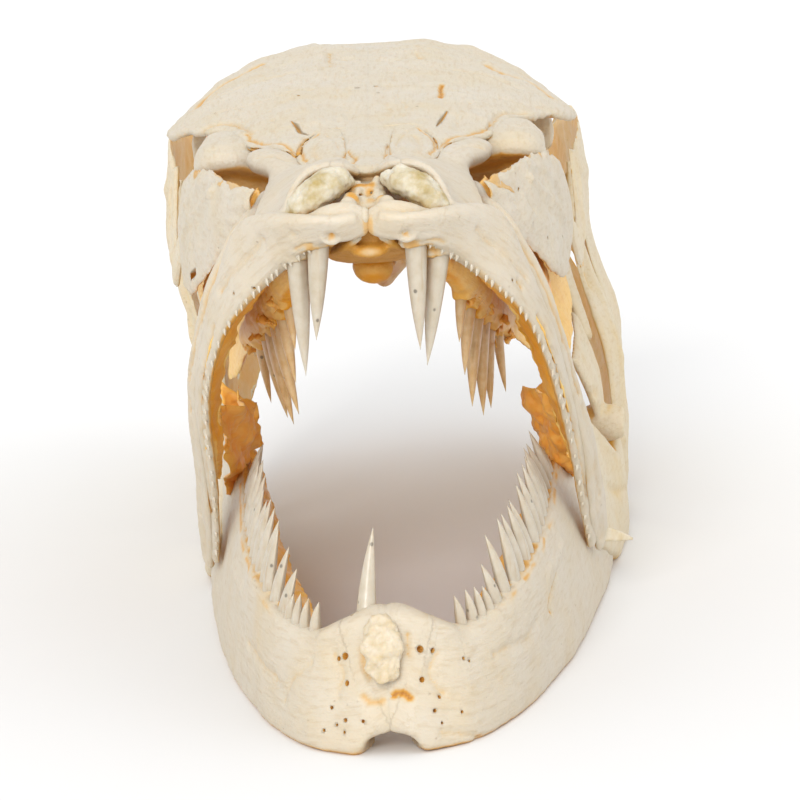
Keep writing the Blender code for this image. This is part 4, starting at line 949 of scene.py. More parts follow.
def makeMesethmoid():
    # The narrow strip on top of the snout, spongy where it slopes to the lip, the vomer's keel below it,
    # and the band that bridges the two arches
    look = snoutShape
    rings = []
    for y, strip, waist, lowHalf, rise in look["stations"]:
        top = float(roofHeight(np.array([0.0]), np.array([float(y)]))[0]) + rise
        low = float(readTable(roofShape["base"], [y])[0]) - rise
        tall = top - low
        half = [(strip * 0.6, top - 0.05), (strip, top - 0.5), (strip, top - 0.22 * tall),
                (waist, top - 0.36 * tall),
                (waist, top - 0.58 * tall), (lowHalf, low + 0.22 * tall), (lowHalf * 0.75, low)]
        rings.append(mirrorRing(half, y))
    pieces = [sectionLoft(rings, look["around"], look["steps"])]
    draw = random.Random(31)
    for i in range(look["grains"]):
        along = draw.uniform(0, 1)
        spot = (draw.uniform(-2.8, 2.8), 20.6 + 6.4 * along + draw.uniform(-0.4, 0.4),
                75.2 + 3.4 * along + draw.uniform(-0.4, 0.4))
        size = draw.uniform(*look["grainSize"])
        pieces.append(egg(spot, (size, size * 1.2, size), sideCount=10))
    pieces += [egg(centre, radii) for centre, radii in look["lumps"]]
    pieces += [sweep(path, (0, 0, 1), sideCount=14, steps=30) for path in look["straps"]]
    pieces.append(sweep(look["bridge"], (0, 1, 0), sideCount=18, steps=40))
    points, quads = melt(pieces, look["grit"], rounds=1)
    # The plates behind the slope are smooth
    points = soften(points, quads, 3, 0.55 * ramp(points[:, 1], 27, 30))

    def stainAndShadeOf(p, n):
        # The slope at the very front is amber between its grains and the underside greasy.
        slope = (1 - ramp(p[:, 1], 26.5, 29)) * ramp(cloud(p, 1.3, 7), -0.6, 0.8)
        front = slope * (0.15 + 0.5 * ramp(p[:, 2], 75.5, 78))
        low = look["greaseBelow"] + 0.12 * ramp(72.0 - p[:, 2], 0, 1.5) * ramp(cloud(p, 1.8, 9), -0.8, 0.5)
        low = low * ramp(76.0 - p[:, 2], 0, 3) * ramp(p[:, 1], 18, 20)
        bead = 1 - ramp(np.linalg.norm((p - look["lumps"][0][0]) / (1, 1.7, 1.5), axis=1), 0.8, 1.15)
        return np.maximum(front, low) * (1 - bead)

    finishBone("snout_middle_bone", "mesethmoid", points, quads, look, 11, look["marks"], extraStainAndShade=stainAndShadeOf)


ethmoidShape = {
    # Distance from the middle, front, back, foot, top at the front and at the back
    "stations": ((0.25, 87.5, 103.0, 58.7, 77.4, 78.2), (6.0, 87.5, 103.0, 59.5, 77.2, 78.1),
                 (13.0, 87.0, 103.0, 63.4, 76.0, 77.0), (18.0, 85.5, 105.0, 66.2, 76.0, 76.4),
                 (22.0, 84.0, 106.0, 66.8, 76.8, 77.0), (26.0, 85.0, 106.0, 67.2, 76.2, 76.6),
                 (28.4, 89.0, 102.0, 69.2, 74.2, 74.6)),
    "around": 72, "steps": 90, "grit": 0.42,
    "recessStain": 0.4,
    "finish": "sunBleachedBone", "relief": (0.2, 0.06), "greasy": 0.6,
    "marks": [(((19, 88, 77.0), (22, 86, 77.2), (26, 87, 76.2)), 0.8, 0.25, 0.1),
              (((23, 92, 77.4), (25.5, 95, 77.0), (27, 99, 76.4)), 0.8, 0.25, 0.1)],
}


def makeLateralEthmoid(label, side):
    look = ethmoidShape
    rings = []
    for x, front, back, low, topFront, topBack in look["stations"]:
        mid = (front + back) / 2
        section = [(front + 6, low), (back - 2.5, low), (back, low + 1.4), (back, topBack - 1.5),
                   (back - 2, topBack),
                   (mid, (topFront + topBack) / 2 + 0.3), (front + 3.2, topFront), (front + 0.7, topFront - 1.2),
                   (front + 0.5, topFront - 3.4), (front + 5, topFront - 5.4)]
        rings.append([(side * x, y, z) for y, z in section])
    points, quads = melt([sectionLoft(rings, look["around"], look["steps"])], look["grit"], rounds=4)

    def stainAndShadeOf(p, n):
        # Painted shade: the recess under the knob is coloured amber.
        return look["recessStain"] * ramp(73.4 - p[:, 2], 0, 1.6)

    finishBone(f"lateral_ethmoid_bone_{label}", f"lateral_ethmoid_{label}", points, quads, look, 41 + side,
               mirrorMarks(look["marks"], side), extraStainAndShade=stainAndShadeOf)


makeMesethmoid()
for label, side in sides.items():
    makeNasal(label, side)
    makeLateralEthmoid(label, side)
print("snout ready")


# Braincase

keelShape = {
    # Place, half width, depth
    "stations": ((46, 3.0, 1.8), (62, 3.4, 2.6), (84, 3.4, 3.2), (108, 3.2, 4.0),
                 (130, 4.0, 5.6), (148, 5.0, 7.2), (162, 5.2, 6.2), (178, 4.4, 3.0)),
    "around": 40, "steps": 260, "grit": 0.46,
    "knob": ((-0.1, 46.5, 62.9), (3.2, 5.0, 2.8)),
    "grain": [(0, 46, 60), (0, 110, 54), (0, 178, 48)],
    "finish": "greaseAmberBone", "relief": (0.16, 0.06), "greasy": 0.3,
    "marks": [(((1.6, 60, 58), (1.4, 100, 53), (2.0, 140, 45.6)), 0.8, 0.35, 0.3)],
}


def makeParasphenoid():
    look = keelShape
    rings = []
    for y, half, depth in look["stations"]:
        top = float(readTable(roofShape["base"], [y])[0]) - 0.45
        section = [(half * 0.7, top), (half, top - depth * 0.35), (half * 0.45, top - depth * 0.75),
                   (0.0, top - depth)]
        rings.append(mirrorRing(section, y))
    points, quads = melt([sectionLoft(rings, look["around"], look["steps"]), egg(*look["knob"])], look["grit"])
    marks = mirrorMarks(look["marks"], 1) + mirrorMarks(look["marks"], -1)
    finishBone("parasphenoid_bone", "parasphenoid", points, quads, look, 51, marks, look["grain"])


braincaseShape = {
    # Place, half width, half width of the waist, height of the shelf, and how far the top sinks
    "stations": ((139, 30.5, 13, 66.4, 0.0), (144, 31.0, 15, 66.2, 0.0), (152, 30.0, 16, 66.2, 0.0),
                 (160, 27.5, 16, 66.4, 0.0), (167, 24.0, 14, 66.8, 0.4), (174, 18.0, 12, 66.0, 6.0),
                 (179, 12.0, 9.0, 64.0, 12.0)),
    "around": 120, "steps": 90, "grit": 0.56,
    "neck": ((0, 170, 56, 6.4, 5.9), (0, 180, 56, 6.2, 5.8), (0, 186, 56, 5.8, 5.4)),
    "crest": (((0, 166, 80.4), (0, 178, 82.0), (0, 190, 80.0)), ((0, 166, 72), (0, 178, 71.6), (0, 185, 73))),
    "crestThick": 1.7,
    "spine": ((22.0, 158, 69.8, 3.6, 2.4), (22.6, 171, 70.4, 2.6, 1.8), (22.2, 184, 70.8, 0.8, 0.7)),
    "socket": 56, "cordHole": 66.5,   # heights of the first vertebra's socket and of the spinal cord's hole
    "finish": "creamBone", "relief": (0.3, 0.1), "greasy": 0.4,
    "marks": [
        (((16, 168, 64), (14, 172, 60), (9, 176, 54)), 0.7, 0.35, 0.3),
        (((22, 162, 68.4), (17, 170, 70), (10, 176, 70)), 0.8, -0.4, 0.0),
        (((13, 150, 58), (14.5, 160, 57), (11, 170, 55)), 0.7, 0.3, 0.25),
        (((12.5, 172.5, 64.5),), 1.5, 1.1, 0.7), (((15.5, 158, 61.5),), 1.2, 0.9, 0.6),
        (((17, 146, 62),), 1.3, 1.0, 0.7),
    ],
}


def makeBraincase():
    look = braincaseShape
    rings = []
    for y, half, waist, shelf, sink in look["stations"]:
        low = float(readTable(roofShape["base"], [y])[0])
        reach = float(readTable(roofShape["half"], [y])[0])
        halfRing = []
        for f in (0.1, 0.4, 0.7, 0.9, 1.0):
            x = half * f
            past = max(x - reach + 1.5, 0.0)
            height = float(roofHeight(np.array([min(x, reach)]), np.array([float(y)]))[0])
            top = height - roofShape["thick"] - 0.75 - 0.9 * f - past * 0.9 - sink * (1 - 0.3 * f)
            halfRing.append((x, max(top, shelf + 1.6)))
        halfRing += [(half * 0.98, shelf), (half * 0.72, shelf), (waist, low + 8.5), (waist * 0.5, low + 2.2),
                     (3.2, low)]
        rings.append(mirrorRing(halfRing, y))
    pieces = [sectionLoft(rings, look["around"], look["steps"])]
    pieces.append(sweep(look["neck"], (1, 0, 0), sideCount=40, steps=30, blunt=False))
    points, quads = plate(between(*look["crest"], 60, 30), look["crestThick"], rim=0.6)
    pieces.append((points - (look["crestThick"] / 2, 0, 0), quads, noTris))
    for side in sides.values():
        pieces.append(sweep(flipSide(look["spine"], side), (1, 0, 0), sideCount=18, steps=40))
    points, quads = melt(pieces, look["grit"])
    normals = faceOut(points, quads)
    # The cone of the socket, ringed like all fish vertebrae, and the hole over it
    back = ramp(points[:, 1], 176, 181) * ramp(normals[:, 1], 0.2, 0.7)
    fromCone = np.hypot(points[:, 0], (points[:, 2] - look["socket"]) / 0.93)
    points[:, 1] -= back * np.maximum(5.4 - fromCone, 0) * 1.1 * (1 + 0.05 * np.sin(fromCone * 5.5))
    fromHole = np.hypot(points[:, 0], (points[:, 2] - look["cordHole"]) / 0.85)
    holeShare = 1 - ramp(fromHole, 2.5, 3.3)
    points[:, 1] -= ramp(normals[:, 1], 0.05, 0.5) * ramp(points[:, 1], 170, 174) * holeShare * 7.5

    def stainAndShadeOf(p, n):
        # Faces that look down get painted shade; the socket's cone and the hole over it are stained darker.
        cone = 0.55 * ramp(p[:, 1], 172, 180) * (1 - ramp(np.hypot(p[:, 0], p[:, 2] - look["socket"]), 2, 6))
        fromHole = np.hypot(p[:, 0], (p[:, 2] - look["cordHole"]) / 0.85)
        hole = 0.95 * (1 - ramp(fromHole, 2.3, 3.4)) * ramp(p[:, 1], 163, 168)
        return np.maximum(np.maximum(cone, hole), 0.25 * ramp(-n[:, 2], 0.1, 0.8))

    marks = mirrorMarks(look["marks"], 1) + mirrorMarks(look["marks"], -1)
    finishBone("braincase_bone", "braincase", points, quads, look, 61, marks, extraStainAndShade=stainAndShadeOf)


makeParasphenoid()
makeBraincase()
print("braincase ready")


# Upper jaw

premaxillaShape = {
    # x, y, z of the tooth edge, height, thickness, lean
    "edge": ((0.9, 17.6, 72.6, 3.4, 3.6, 0.10), (4.2, 17.5, 71.6, 3.8, 5.0, 0.15),
             (8.0, 18.9, 70.9, 4.4, 5.2, 0.25), (11.8, 22.2, 68.2, 7.4, 4.4, 0.38),
             (15.6, 25.4, 64.9, 9.6, 3.4, 0.52), (19.3, 28.6, 61.0, 8.4, 2.6, 0.62),
             (23.0, 34.2, 55.2, 6.0, 2.0, 0.70), (25.8, 41.8, 47.0, 4.8, 1.8, 0.72),
             (27.3, 50.0, 38.4, 4.6, 1.7, 0.72), (28.1, 58.5, 29.4, 4.4, 1.6, 0.72),
             (28.9, 68.2, 19.5, 3.8, 1.4, 0.72), (30.0, 77.0, 10.6, 2.2, 1.2, 0.72)),
    "section": ((0.0, -0.35), (0.0, 0.30), (0.35, 0.62), (0.72, 0.78), (1.0, 0.55), (1.0, 0.05), (0.6, -0.30),
                (0.25, -0.42)),
    "lip": ((0.95, 17.4, 74.0, 2.2, 1.4), (3.2, 17.0, 74.2, 2.9, 2.0), (6.2, 17.5, 73.8, 2.6, 2.2),
            (9.0, 19.3, 72.2, 2.2, 2.1), (11.4, 21.8, 70.2, 1.8, 1.8)),
    "arch": ((1.2, 29.0, 79.5, 0.9, 0.8), (3.8, 27.0, 80.8, 1.0, 0.9), (6.4, 26.0, 81.0, 1.1, 0.9),
             (8.9, 25.0, 80.2, 1.1, 0.9), (10.6, 23.6, 78.2, 1.1, 0.9), (11.6, 22.8, 75.6, 1.1, 0.9),
             (12.0, 23.2, 72.4, 1.1, 0.9)),
    # The broad smooth face in three lines, each running from the cartilage down to the maxilla
    "faceFront": ((1.6, 28.0, 80.0), (6.4, 26.4, 80.9), (9.9, 24.8, 78.6), (11.9, 23.8, 74.4),
                  (14.0, 25.2, 70.6), (16.6, 28.4, 68.2), (19.2, 31.4, 65.8)),
    "faceMiddle": ((2.2, 34.0, 80.4), (6.2, 34.4, 80.2), (8.8, 37.0, 78.7), (10.7, 38.6, 77.2),
                   (12.8, 40.4, 75.7), (15.0, 41.6, 73.9), (17.0, 42.4, 71.9)),
    "faceRear": ((2.8, 40.0, 79.9), (5.4, 41.6, 79.6), (7.6, 46.4, 78.6), (8.6, 52.4, 77.7),
                 (10.6, 60.4, 76.6), (13.0, 63.0, 75.8), (15.4, 62.0, 74.4)),
    "lobe": ((11.6, 57.0, 75.6, 2.6, 1.6), (13.2, 65.0, 75.8, 3.4, 2.4), (15.2, 72.0, 75.7, 3.8, 2.6),
             (16.8, 78.0, 75.6, 3.0, 2.2), (17.8, 81.6, 75.6, 1.5, 1.2)),
    # The thin shelf inside the tooth edge: place along it, reach inwards, reach back
    "shelf": ((0.30, 1.0, 4.0), (0.42, 2.3, 5.6), (0.55, 2.8, 5.8), (0.68, 2.6, 4.8), (0.78, 1.9, 3.6),
              (0.84, 1.0, 2.4)),
    "shelfSurface": {"finish": "greaseAmberBone", "relief": (0.3, 0.1), "greasy": 0.5},
    "rim": ((5.4, 15.9, 72.4), 1.25, 1.1),   # an empty socket beside the middle: centre, half width, half height
    "around": 44, "steps": 300, "grit": 0.34,
    "finish": "ivoryBone", "relief": (0.1, 0.04), "greasy": 0.6,
    "grooves": [
        (((13.0, 23.6, 72.8), (16.4, 26.0, 69.4), (19.6, 29.4, 66.0), (23.0, 35.4, 60.0)), 0.7, 0.4, 0.3),
        (((12.4, 62, 78.0), (14.6, 66, 78.6), (18.0, 70, 77.6)), 0.5, 0.3, 0.25),
        (((12.0, 58, 74.4), (14.0, 66, 73.9), (16.4, 76, 74.2)), 0.4, 0.4, 0.6),
        (((20.5, 31.0, 62.0), (24.5, 37.5, 53.6), (27.2, 45.0, 44.6), (28.8, 56.0, 33.2)), 0.5, 0.45, 0.4),
        (((25.2, 40.5, 49.5), (27.5, 48.5, 40.8), (28.8, 58.0, 31.0), (29.8, 68.0, 21.0)), 0.45, 0.4, 0.4),
        # The empty socket beside the front fang, with its raised rim
        (((5.4, 15.6, 72.4),), 0.7, 0.9, 0.0),
        (((8.4, 17.2, 70.6), (9.6, 18.2, 71.2), (10.6, 19.6, 70.6)), 0.4, 0.3, 0.45),
        (((1.6, 15.8, 76.3), (4.4, 15.3, 76.0), (7.6, 16.4, 75.4), (10.2, 18.8, 73.6)), 0.8, 0.3, 0.12),
    ],
    "holes": {"right": [(((-17.4, 25.4, 63.3),), 0.3, 1.2), (((-9.9, 24.0, 78.6),), 0.3, 0.9)], "left": []},
    "pores": (((20.6, 28.8, 62.6), 0.24, 0.9), ((17.6, 31.0, 69.6), 0.24, 0.9)),
    # The comb of small teeth, most of them worn short
    "teeth": 34, "worn": 0.62, "combLong": 2.1, "combWide": 1.35, "combThick": 1.05,
    "collar": 12, "faceThick": 1.5, "faceSoftening": 26,
    "fangs": {
        "left": (((6.6, 20.6, 72.5), (6.5, 19.5, 54.6), 4.2), ((10.2, 23.6, 70.5), (7.4, 23.0, 51.6), 4.3)),
        "right": (((-7.3, 20.7, 72.8), (-8.5, 19.5, 56.7), 4.2), ((-10.7, 23.5, 70.6), (-10.4, 23.0, 50.9), 4.3)),
    },
}


def unit(v):
    return np.array(v, float) / np.linalg.norm(v)


def premaxillaFrames(count):
    # The tooth edge with its own directions: ahead, out from the mouth, and up the bone.
    edge = through(premaxillaShape["edge"], count)
    frames = []
    for i, station in enumerate(edge):
        follow = edge[i + 1] if i + 1 < count else 2 * station - edge[i - 1]
        ahead = unit(follow[:3] - station[:3])
        lean = station[5]
        rise = unit((0.0, lean, math.sqrt(1 - lean**2)))
        rise = unit(rise - ahead * np.dot(rise, ahead))
        out = np.cross(rise, ahead)
        if out[0] < 0 and abs(out[0]) > abs(out[1]):
            out = -out
        if out[1] > 0 and i < count * 0.38:
            out = -out
        frames.append((station, ahead, out, rise))
    return frames


def toothForm(root, tip, wide, thick, along, bend, blade, sideCount, steps, fullness=0.45):
    # A tapering tooth; blade flattens it to two edges, and bend bows it.
    root, tip = np.array(root, float), np.array(tip, float)
    axis = unit(tip - root)
    u = unit(np.array(along, float) - axis * np.dot(along, axis))
    v = np.cross(axis, u)
    turn = np.linspace(0, 2 * math.pi, sideCount, endpoint=False)
    flat = np.abs(np.sin(turn)) ** (blade * 0.7)
    rings = []
    for t in np.linspace(0, 1, steps) ** 0.92:
        share = max(1 - (1 - fullness) * t - fullness * t**3, 0.02) * (1 + 0.14 * max(1 - t / 0.14, 0))
        centre = root + (tip - root) * t + np.array(bend, float) * 4 * t * (1 - t)
        flute = 1 + 0.025 * np.sin(turn * 9) * max(1 - t * 1.6, 0)
        ring = (np.cos(turn) * wide / 2 * share * flute)[:, None] * u
        ring = ring + (np.sin(turn) * flat * thick / 2 * share * flute)[:, None] * v
        rings.append(centre + ring)
    points, quads, tris = ringSolid(rings)
    reach = np.append(np.repeat(np.linspace(0, 1, steps) ** 0.92, sideCount), (0.0, 1.0))
    return points, quads, tris, reach


def joinTeeth(name, node, forms, finish="toothDentine"):
    points, quads, tris = stackSolids([form[:3] for form in forms])
    mesh = makeMesh(name, intoFrame(points), quads, tris)
    addField(mesh, "along", np.concatenate([form[3] for form in forms]))
    mesh.materials.append(finishes[finish])
    turnFacesOut(mesh)
    mesh.shade_smooth()
    row = placeObject(name, mesh)
    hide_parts(node)
    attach(row, "root")


def makeShelf(label, side):
    # Thin amber bone that lines the inside of the jaw's edge.
    look = premaxillaShape
    edge = through(look["edge"], 400)
    rows = []
    for place, wide, deep in through(look["shelf"], 150):
        at = edge[int(place * 399)][:3]
        ragged = 1 + 0.16 * cloud(at[None], 3.0, 77)[0] + 0.1 * cloud(at[None], 1.1, 78)[0]
        f = np.linspace(-0.12, 1.0, 34)
        rows.append(np.column_stack([side * (at[0] + 0.25 - wide * f * ragged), at[1] + 1.0 + deep * f * ragged,
                                     at[2] + 0.7 - 0.6 * f]))
    points, quads = plate(rows, 1.0, rim=0.4, bevel=0.4)
    finishBone(f"premaxilla_shelf_{label}", f"premaxilla_{label}", points, quads, look["shelfSurface"], 75 + side,
               grain=flipSide(look["edge"], side)[:, :3])


def makeComb(side, pieces):
    # The comb of small teeth along the edge, each on a little foot of bone
    look = premaxillaShape
    flip = np.array((side, 1, 1))
    draw = random.Random(12)
    flatFrames = [np.concatenate((station[:3], *ways)) for station, *ways in premaxillaFrames(21)]
    marks = through(flatFrames, look["teeth"] * 3)
    comb = []
    for i in range(look["teeth"]):
        place = 0.2 + 0.78 * i / (look["teeth"] - 1)
        mark = marks[int(place * (len(marks) - 1))]
        at, ahead, out, rise = mark[:3], unit(mark[3:6]), unit(mark[6:9]), unit(mark[9:12])
        long = look["combLong"] - 1.0 * abs(place - 0.35) + draw.uniform(-0.25, 0.25)
        long *= look["worn"] * draw.uniform(0.75, 1.15)
        root, tip = at + rise * 1.3 + out * 0.15, at - rise * long + ahead * draw.uniform(0.1, 0.35)
        bend = (-rise * 0.05 + out * 0.12) * flip
        comb.append(toothForm(root * flip, tip * flip, look["combWide"], look["combThick"], ahead * flip, bend,
                              0.3, 12, 12, 0.6))
        pieces.append(egg((at + rise * 0.5 + out * 0.1) * flip, (0.7, 0.7, 0.75), sideCount=10))
    return comb


def makePremaxilla(label, side):
    look = premaxillaShape
    flip = np.array((side, 1, 1))
    edge = flipSide(look["edge"], side)[:, :3]
    rings = []
    for station, ahead, out, rise in premaxillaFrames(150):
        tall, thick = station[3], station[4]
        ring = [station[:3] + rise * tall * f + out * (thick * o + 0.12 * tall * f) for f, o in look["section"]]
        rings.append(np.array(ring) * flip)
    pieces = [sectionLoft(rings, look["around"], look["steps"])]
    pieces.append(sweep(flipSide(look["lip"], side), (0, 0, 1), sideCount=30, steps=60))
    pieces.append(sweep(flipSide(look["arch"], side), (0, 1, 0), sideCount=24, steps=90))
    lobe = flipSide(look["lobe"], side) * (1, 1, 1, 1, 0.8)
    pieces.append(sweep(lobe, (1, 0, 0), sideCount=36, steps=90, blunt=False))
    pieces.append(egg((side * 2.8, 18.8, 75.7), (1.5, 1.6, 1.9)))
    (x, y, z), wide, tall = look["rim"]
    for k in range(look["collar"]):
        angle = 2 * math.pi * k / look["collar"]
        spot = (side * x + wide * math.cos(angle), y - 0.3 * math.sin(angle), z + tall * math.sin(angle))
        pieces.append(egg(spot, (0.45, 0.6, 0.45), sideCount=10))
    face = np.stack([through(look[key], 120) for key in ("faceFront", "faceMiddle", "faceRear")], axis=1)
    face = np.array([through(row, 90) for row in face]) * flip
    pieces.append((*plate(face, look["faceThick"], rim=0.75, bevel=0.5), noTris))
    fangs, feet = [], []
    for root, tip, wide in look["fangs"][label]:
        fangs.append(toothForm(root, tip, wide, wide * 0.8, (0, 1, 0), (0, 0.3, 0), 0.15, 28, 40, 0.68))
        # The socket stands up round the fang as a collar
        axis = unit(np.array(tip) - np.array(root))
        feet.append(np.array(root) + axis * 1.6)
        foot = np.array(root) + axis * 1.9
        for k in range(look["collar"]):
            angle = 2 * math.pi * k / look["collar"]
            outwards = np.array((math.cos(angle), math.sin(angle), 0))
            spot = foot + outwards * wide * 0.47 + axis * 0.25 * math.sin(angle * 2)
            pieces.append(egg(spot, (0.7, 0.7, 0.95), sideCount=12))
    comb = makeComb(side, pieces)
    points, quads = melt(pieces, look["grit"], rounds=2)
    # Away from the tooth edge the face is one smooth sweep of bone
    fromEdge = nearPath(points, through(edge, 40))[0]
    smooth = ramp(fromEdge, 2.2, 4.5) * ramp(points[:, 1], 21.5, 24)
    points = soften(points, quads, look["faceSoftening"], 0.6 * smooth)
    holes = look["holes"][label] + [((flipSide(spot, side),), *size) for spot, *size in look["pores"]]

    def stainAndShadeOf(p, n):
        # The inner wall, which looks back, and the underside by the middle are painted amber, partly grease and
        # partly painted shade; crust lies round the fangs' feet
        back = ramp(n[:, 1], 0.25, 0.8) * ramp(72 - p[:, 2], 0, 8)
        under = (1 - ramp(np.abs(p[:, 2] - 69.8 + 0.2 * np.abs(p[:, 0])), 0.2, 1.2)) * ramp(-n[:, 2], 0.1, 0.6)
        fromFoot = np.linalg.norm(p[:, None] - np.array(feet)[None], axis=2).min(1)
        crust = 0.42 * (1 - ramp(fromFoot, 2.4, 4.4)) * ramp(cloud(p, 1.1, 5), -0.5, 0.6)
        under = np.maximum(under, crust / 0.45)
        slit = (1 - ramp(np.abs(p[:, 0]), 0.5, 1.0)) * (1 - ramp(p[:, 2], 74.2, 75.6))
        return np.maximum(0.4 * back, np.maximum(0.45 * under * (1 - ramp(np.abs(p[:, 0]), 9, 12)), 0.32 * slit))

    node = f"premaxilla_{label}"
    finishBone(f"premaxilla_bone_{label}", node, points, quads, look, 71 + side, mirrorMarks(look["grooves"], side),
               edge, holes, stainAndShadeOf)
    joinTeeth(f"premaxilla_fangs_{label}", node, fangs)
    joinTeeth(f"premaxilla_comb_teeth_{label}", node, comb)
    makeShelf(label, side)


maxillaShape = {
    # x, y, z, half width, half thickness
    "path": (
        (14.8, 66.0, 71.0, 1.6, 1.4), (15.4, 59.0, 71.2, 2.2, 1.8), (16.4, 51.0, 70.6, 2.2, 1.6),
        (18.2, 44.0, 69.4, 2.4, 1.3), (20.6, 39.8, 66.6, 2.5, 1.1), (23.9, 40.2, 61.4, 2.3, 0.9),
        (26.6, 44.6, 53.2, 2.1, 0.8), (28.5, 50.6, 45.0, 2.0, 0.8), (29.9, 58.4, 35.6, 2.2, 0.8),
        (30.6, 66.4, 27.0, 2.7, 0.8), (31.3, 75.6, 17.4, 3.2, 0.9), (31.8, 81.6, 10.6, 2.0, 0.8),
    ),
    "across": (0.35, 0.72, 0.62), "grit": 0.32,
    "finish": "ivoryBone", "relief": (0.16, 0.05), "greasy": 0.6,
    "marks": [
        (((19.0, 41.0, 68.6), (22.6, 39.4, 64.4), (25.6, 41.8, 57.6), (27.9, 47.6, 49.4), (29.6, 54.6, 40.2)), 0.5,
         0.55, 0.45),
        (((29.9, 56, 38), (30.8, 64, 29.6), (31.8, 73, 20)), 0.6, 0.3, 0.2),
        (((21.6, 38.6, 66.4), (25.4, 40.6, 59.4), (28.0, 46.4, 50.8)), 0.6, -0.25, 0.0),
        (((31.2, 66, 26), (31.6, 76, 15), (31.4, 80, 11.5)), 0.9, 0.3, 0.15),
    ],
}


def makeMaxilla(label, side):
    look = maxillaShape
    path = flipSide(look["path"], side)
    points, quads = melt([sweep(path, flipSide(look["across"], side), sideCount=40, steps=300)], look["grit"])
    finishBone(f"maxilla_bone_{label}", f"maxilla_{label}", points, quads, look, 81 + side,
               mirrorMarks(look["marks"], side), path[:, :3])


palatineShape = {
    "path": ((9.8, 30.0, 66.4, 2.0, 2.2), (13.0, 41.0, 62.4, 2.2, 3.0), (15.4, 51.0, 58.6, 2.2, 3.6),
             (17.2, 61.0, 54.8, 2.1, 3.8), (19.0, 71.0, 50.6, 1.9, 3.2), (20.8, 80.0, 47.0, 1.5, 2.4)),
    "fangs": (((13.2, 43.5, 60.5), (12.4, 44.0, 51.0), 1.9), ((14.4, 49.0, 57.6), (12.9, 50.0, 44.8), 2.3),
              ((15.6, 54.5, 55.8), (13.4, 56.5, 38.6), 2.6), ((16.5, 59.5, 53.6), (14.8, 62.0, 36.0), 2.6),
              ((17.4, 64.5, 51.8), (16.0, 67.5, 36.0), 2.4), ((18.7, 70.5, 49.6), (18.6, 73.0, 37.4), 1.8)),
    "smallTeeth": 9, "grit": 0.34,
    "finish": "greaseAmberBone", "relief": (0.3, 0.12), "greasy": 0.5,
}


def makePalatine(label, side):
    look = palatineShape
    path = flipSide(look["path"], side)
    pieces = [sweep(path, (side, 0, 0), sideCount=36, steps=160)]
    teeth = []
    draw = random.Random(50 + side)
    for root, tip, wide in look["fangs"]:
        root, tip = flipSide(root, side), flipSide(tip, side)
        teeth.append(toothForm(root, tip, wide * 1.2, wide, (0, 1, 0), (0, 0.25, 0), 0.2, 22, 30, 0.82))
        for k in range(8):
            angle = k * math.pi / 4
            spot = root + (math.cos(angle) * wide * 0.5, math.sin(angle) * wide * 0.5,
                           -1.6 + draw.uniform(-0.5, 0.5))
            pieces.append(egg(spot, (0.7, 0.7, 1.2), sideCount=10))
    # Small teeth behind the fangs
    for i in range(look["smallTeeth"]):
        f = i / (look["smallTeeth"] - 1)
        spot = through(path, 60)[int(34 + 24 * f)]
        root = np.array((spot[0] - side * 0.4, spot[1], spot[2] - spot[4] + 0.5))
        tip = root + (0, 0.3, -2.4 + 0.8 * f)
        teeth.append(toothForm(root, tip, 1.0, 0.9, (0, 1, 0), (0, 0.1, 0), 0.2, 10, 10))
    points, quads = melt(pieces, look["grit"])
    node = f"palatine_{label}"
    finishBone(f"palatine_bone_{label}", node, points, quads, look, 91 + side, grain=path[:, :3])
    joinTeeth(f"palatine_fangs_{label}", node, teeth, "greaseDentine")


for label, side in sides.items():
    makePremaxilla(label, side)
    makeMaxilla(label, side)
    makePalatine(label, side)
print("upper jaw ready")


# Cheek and gill cover: thin plates

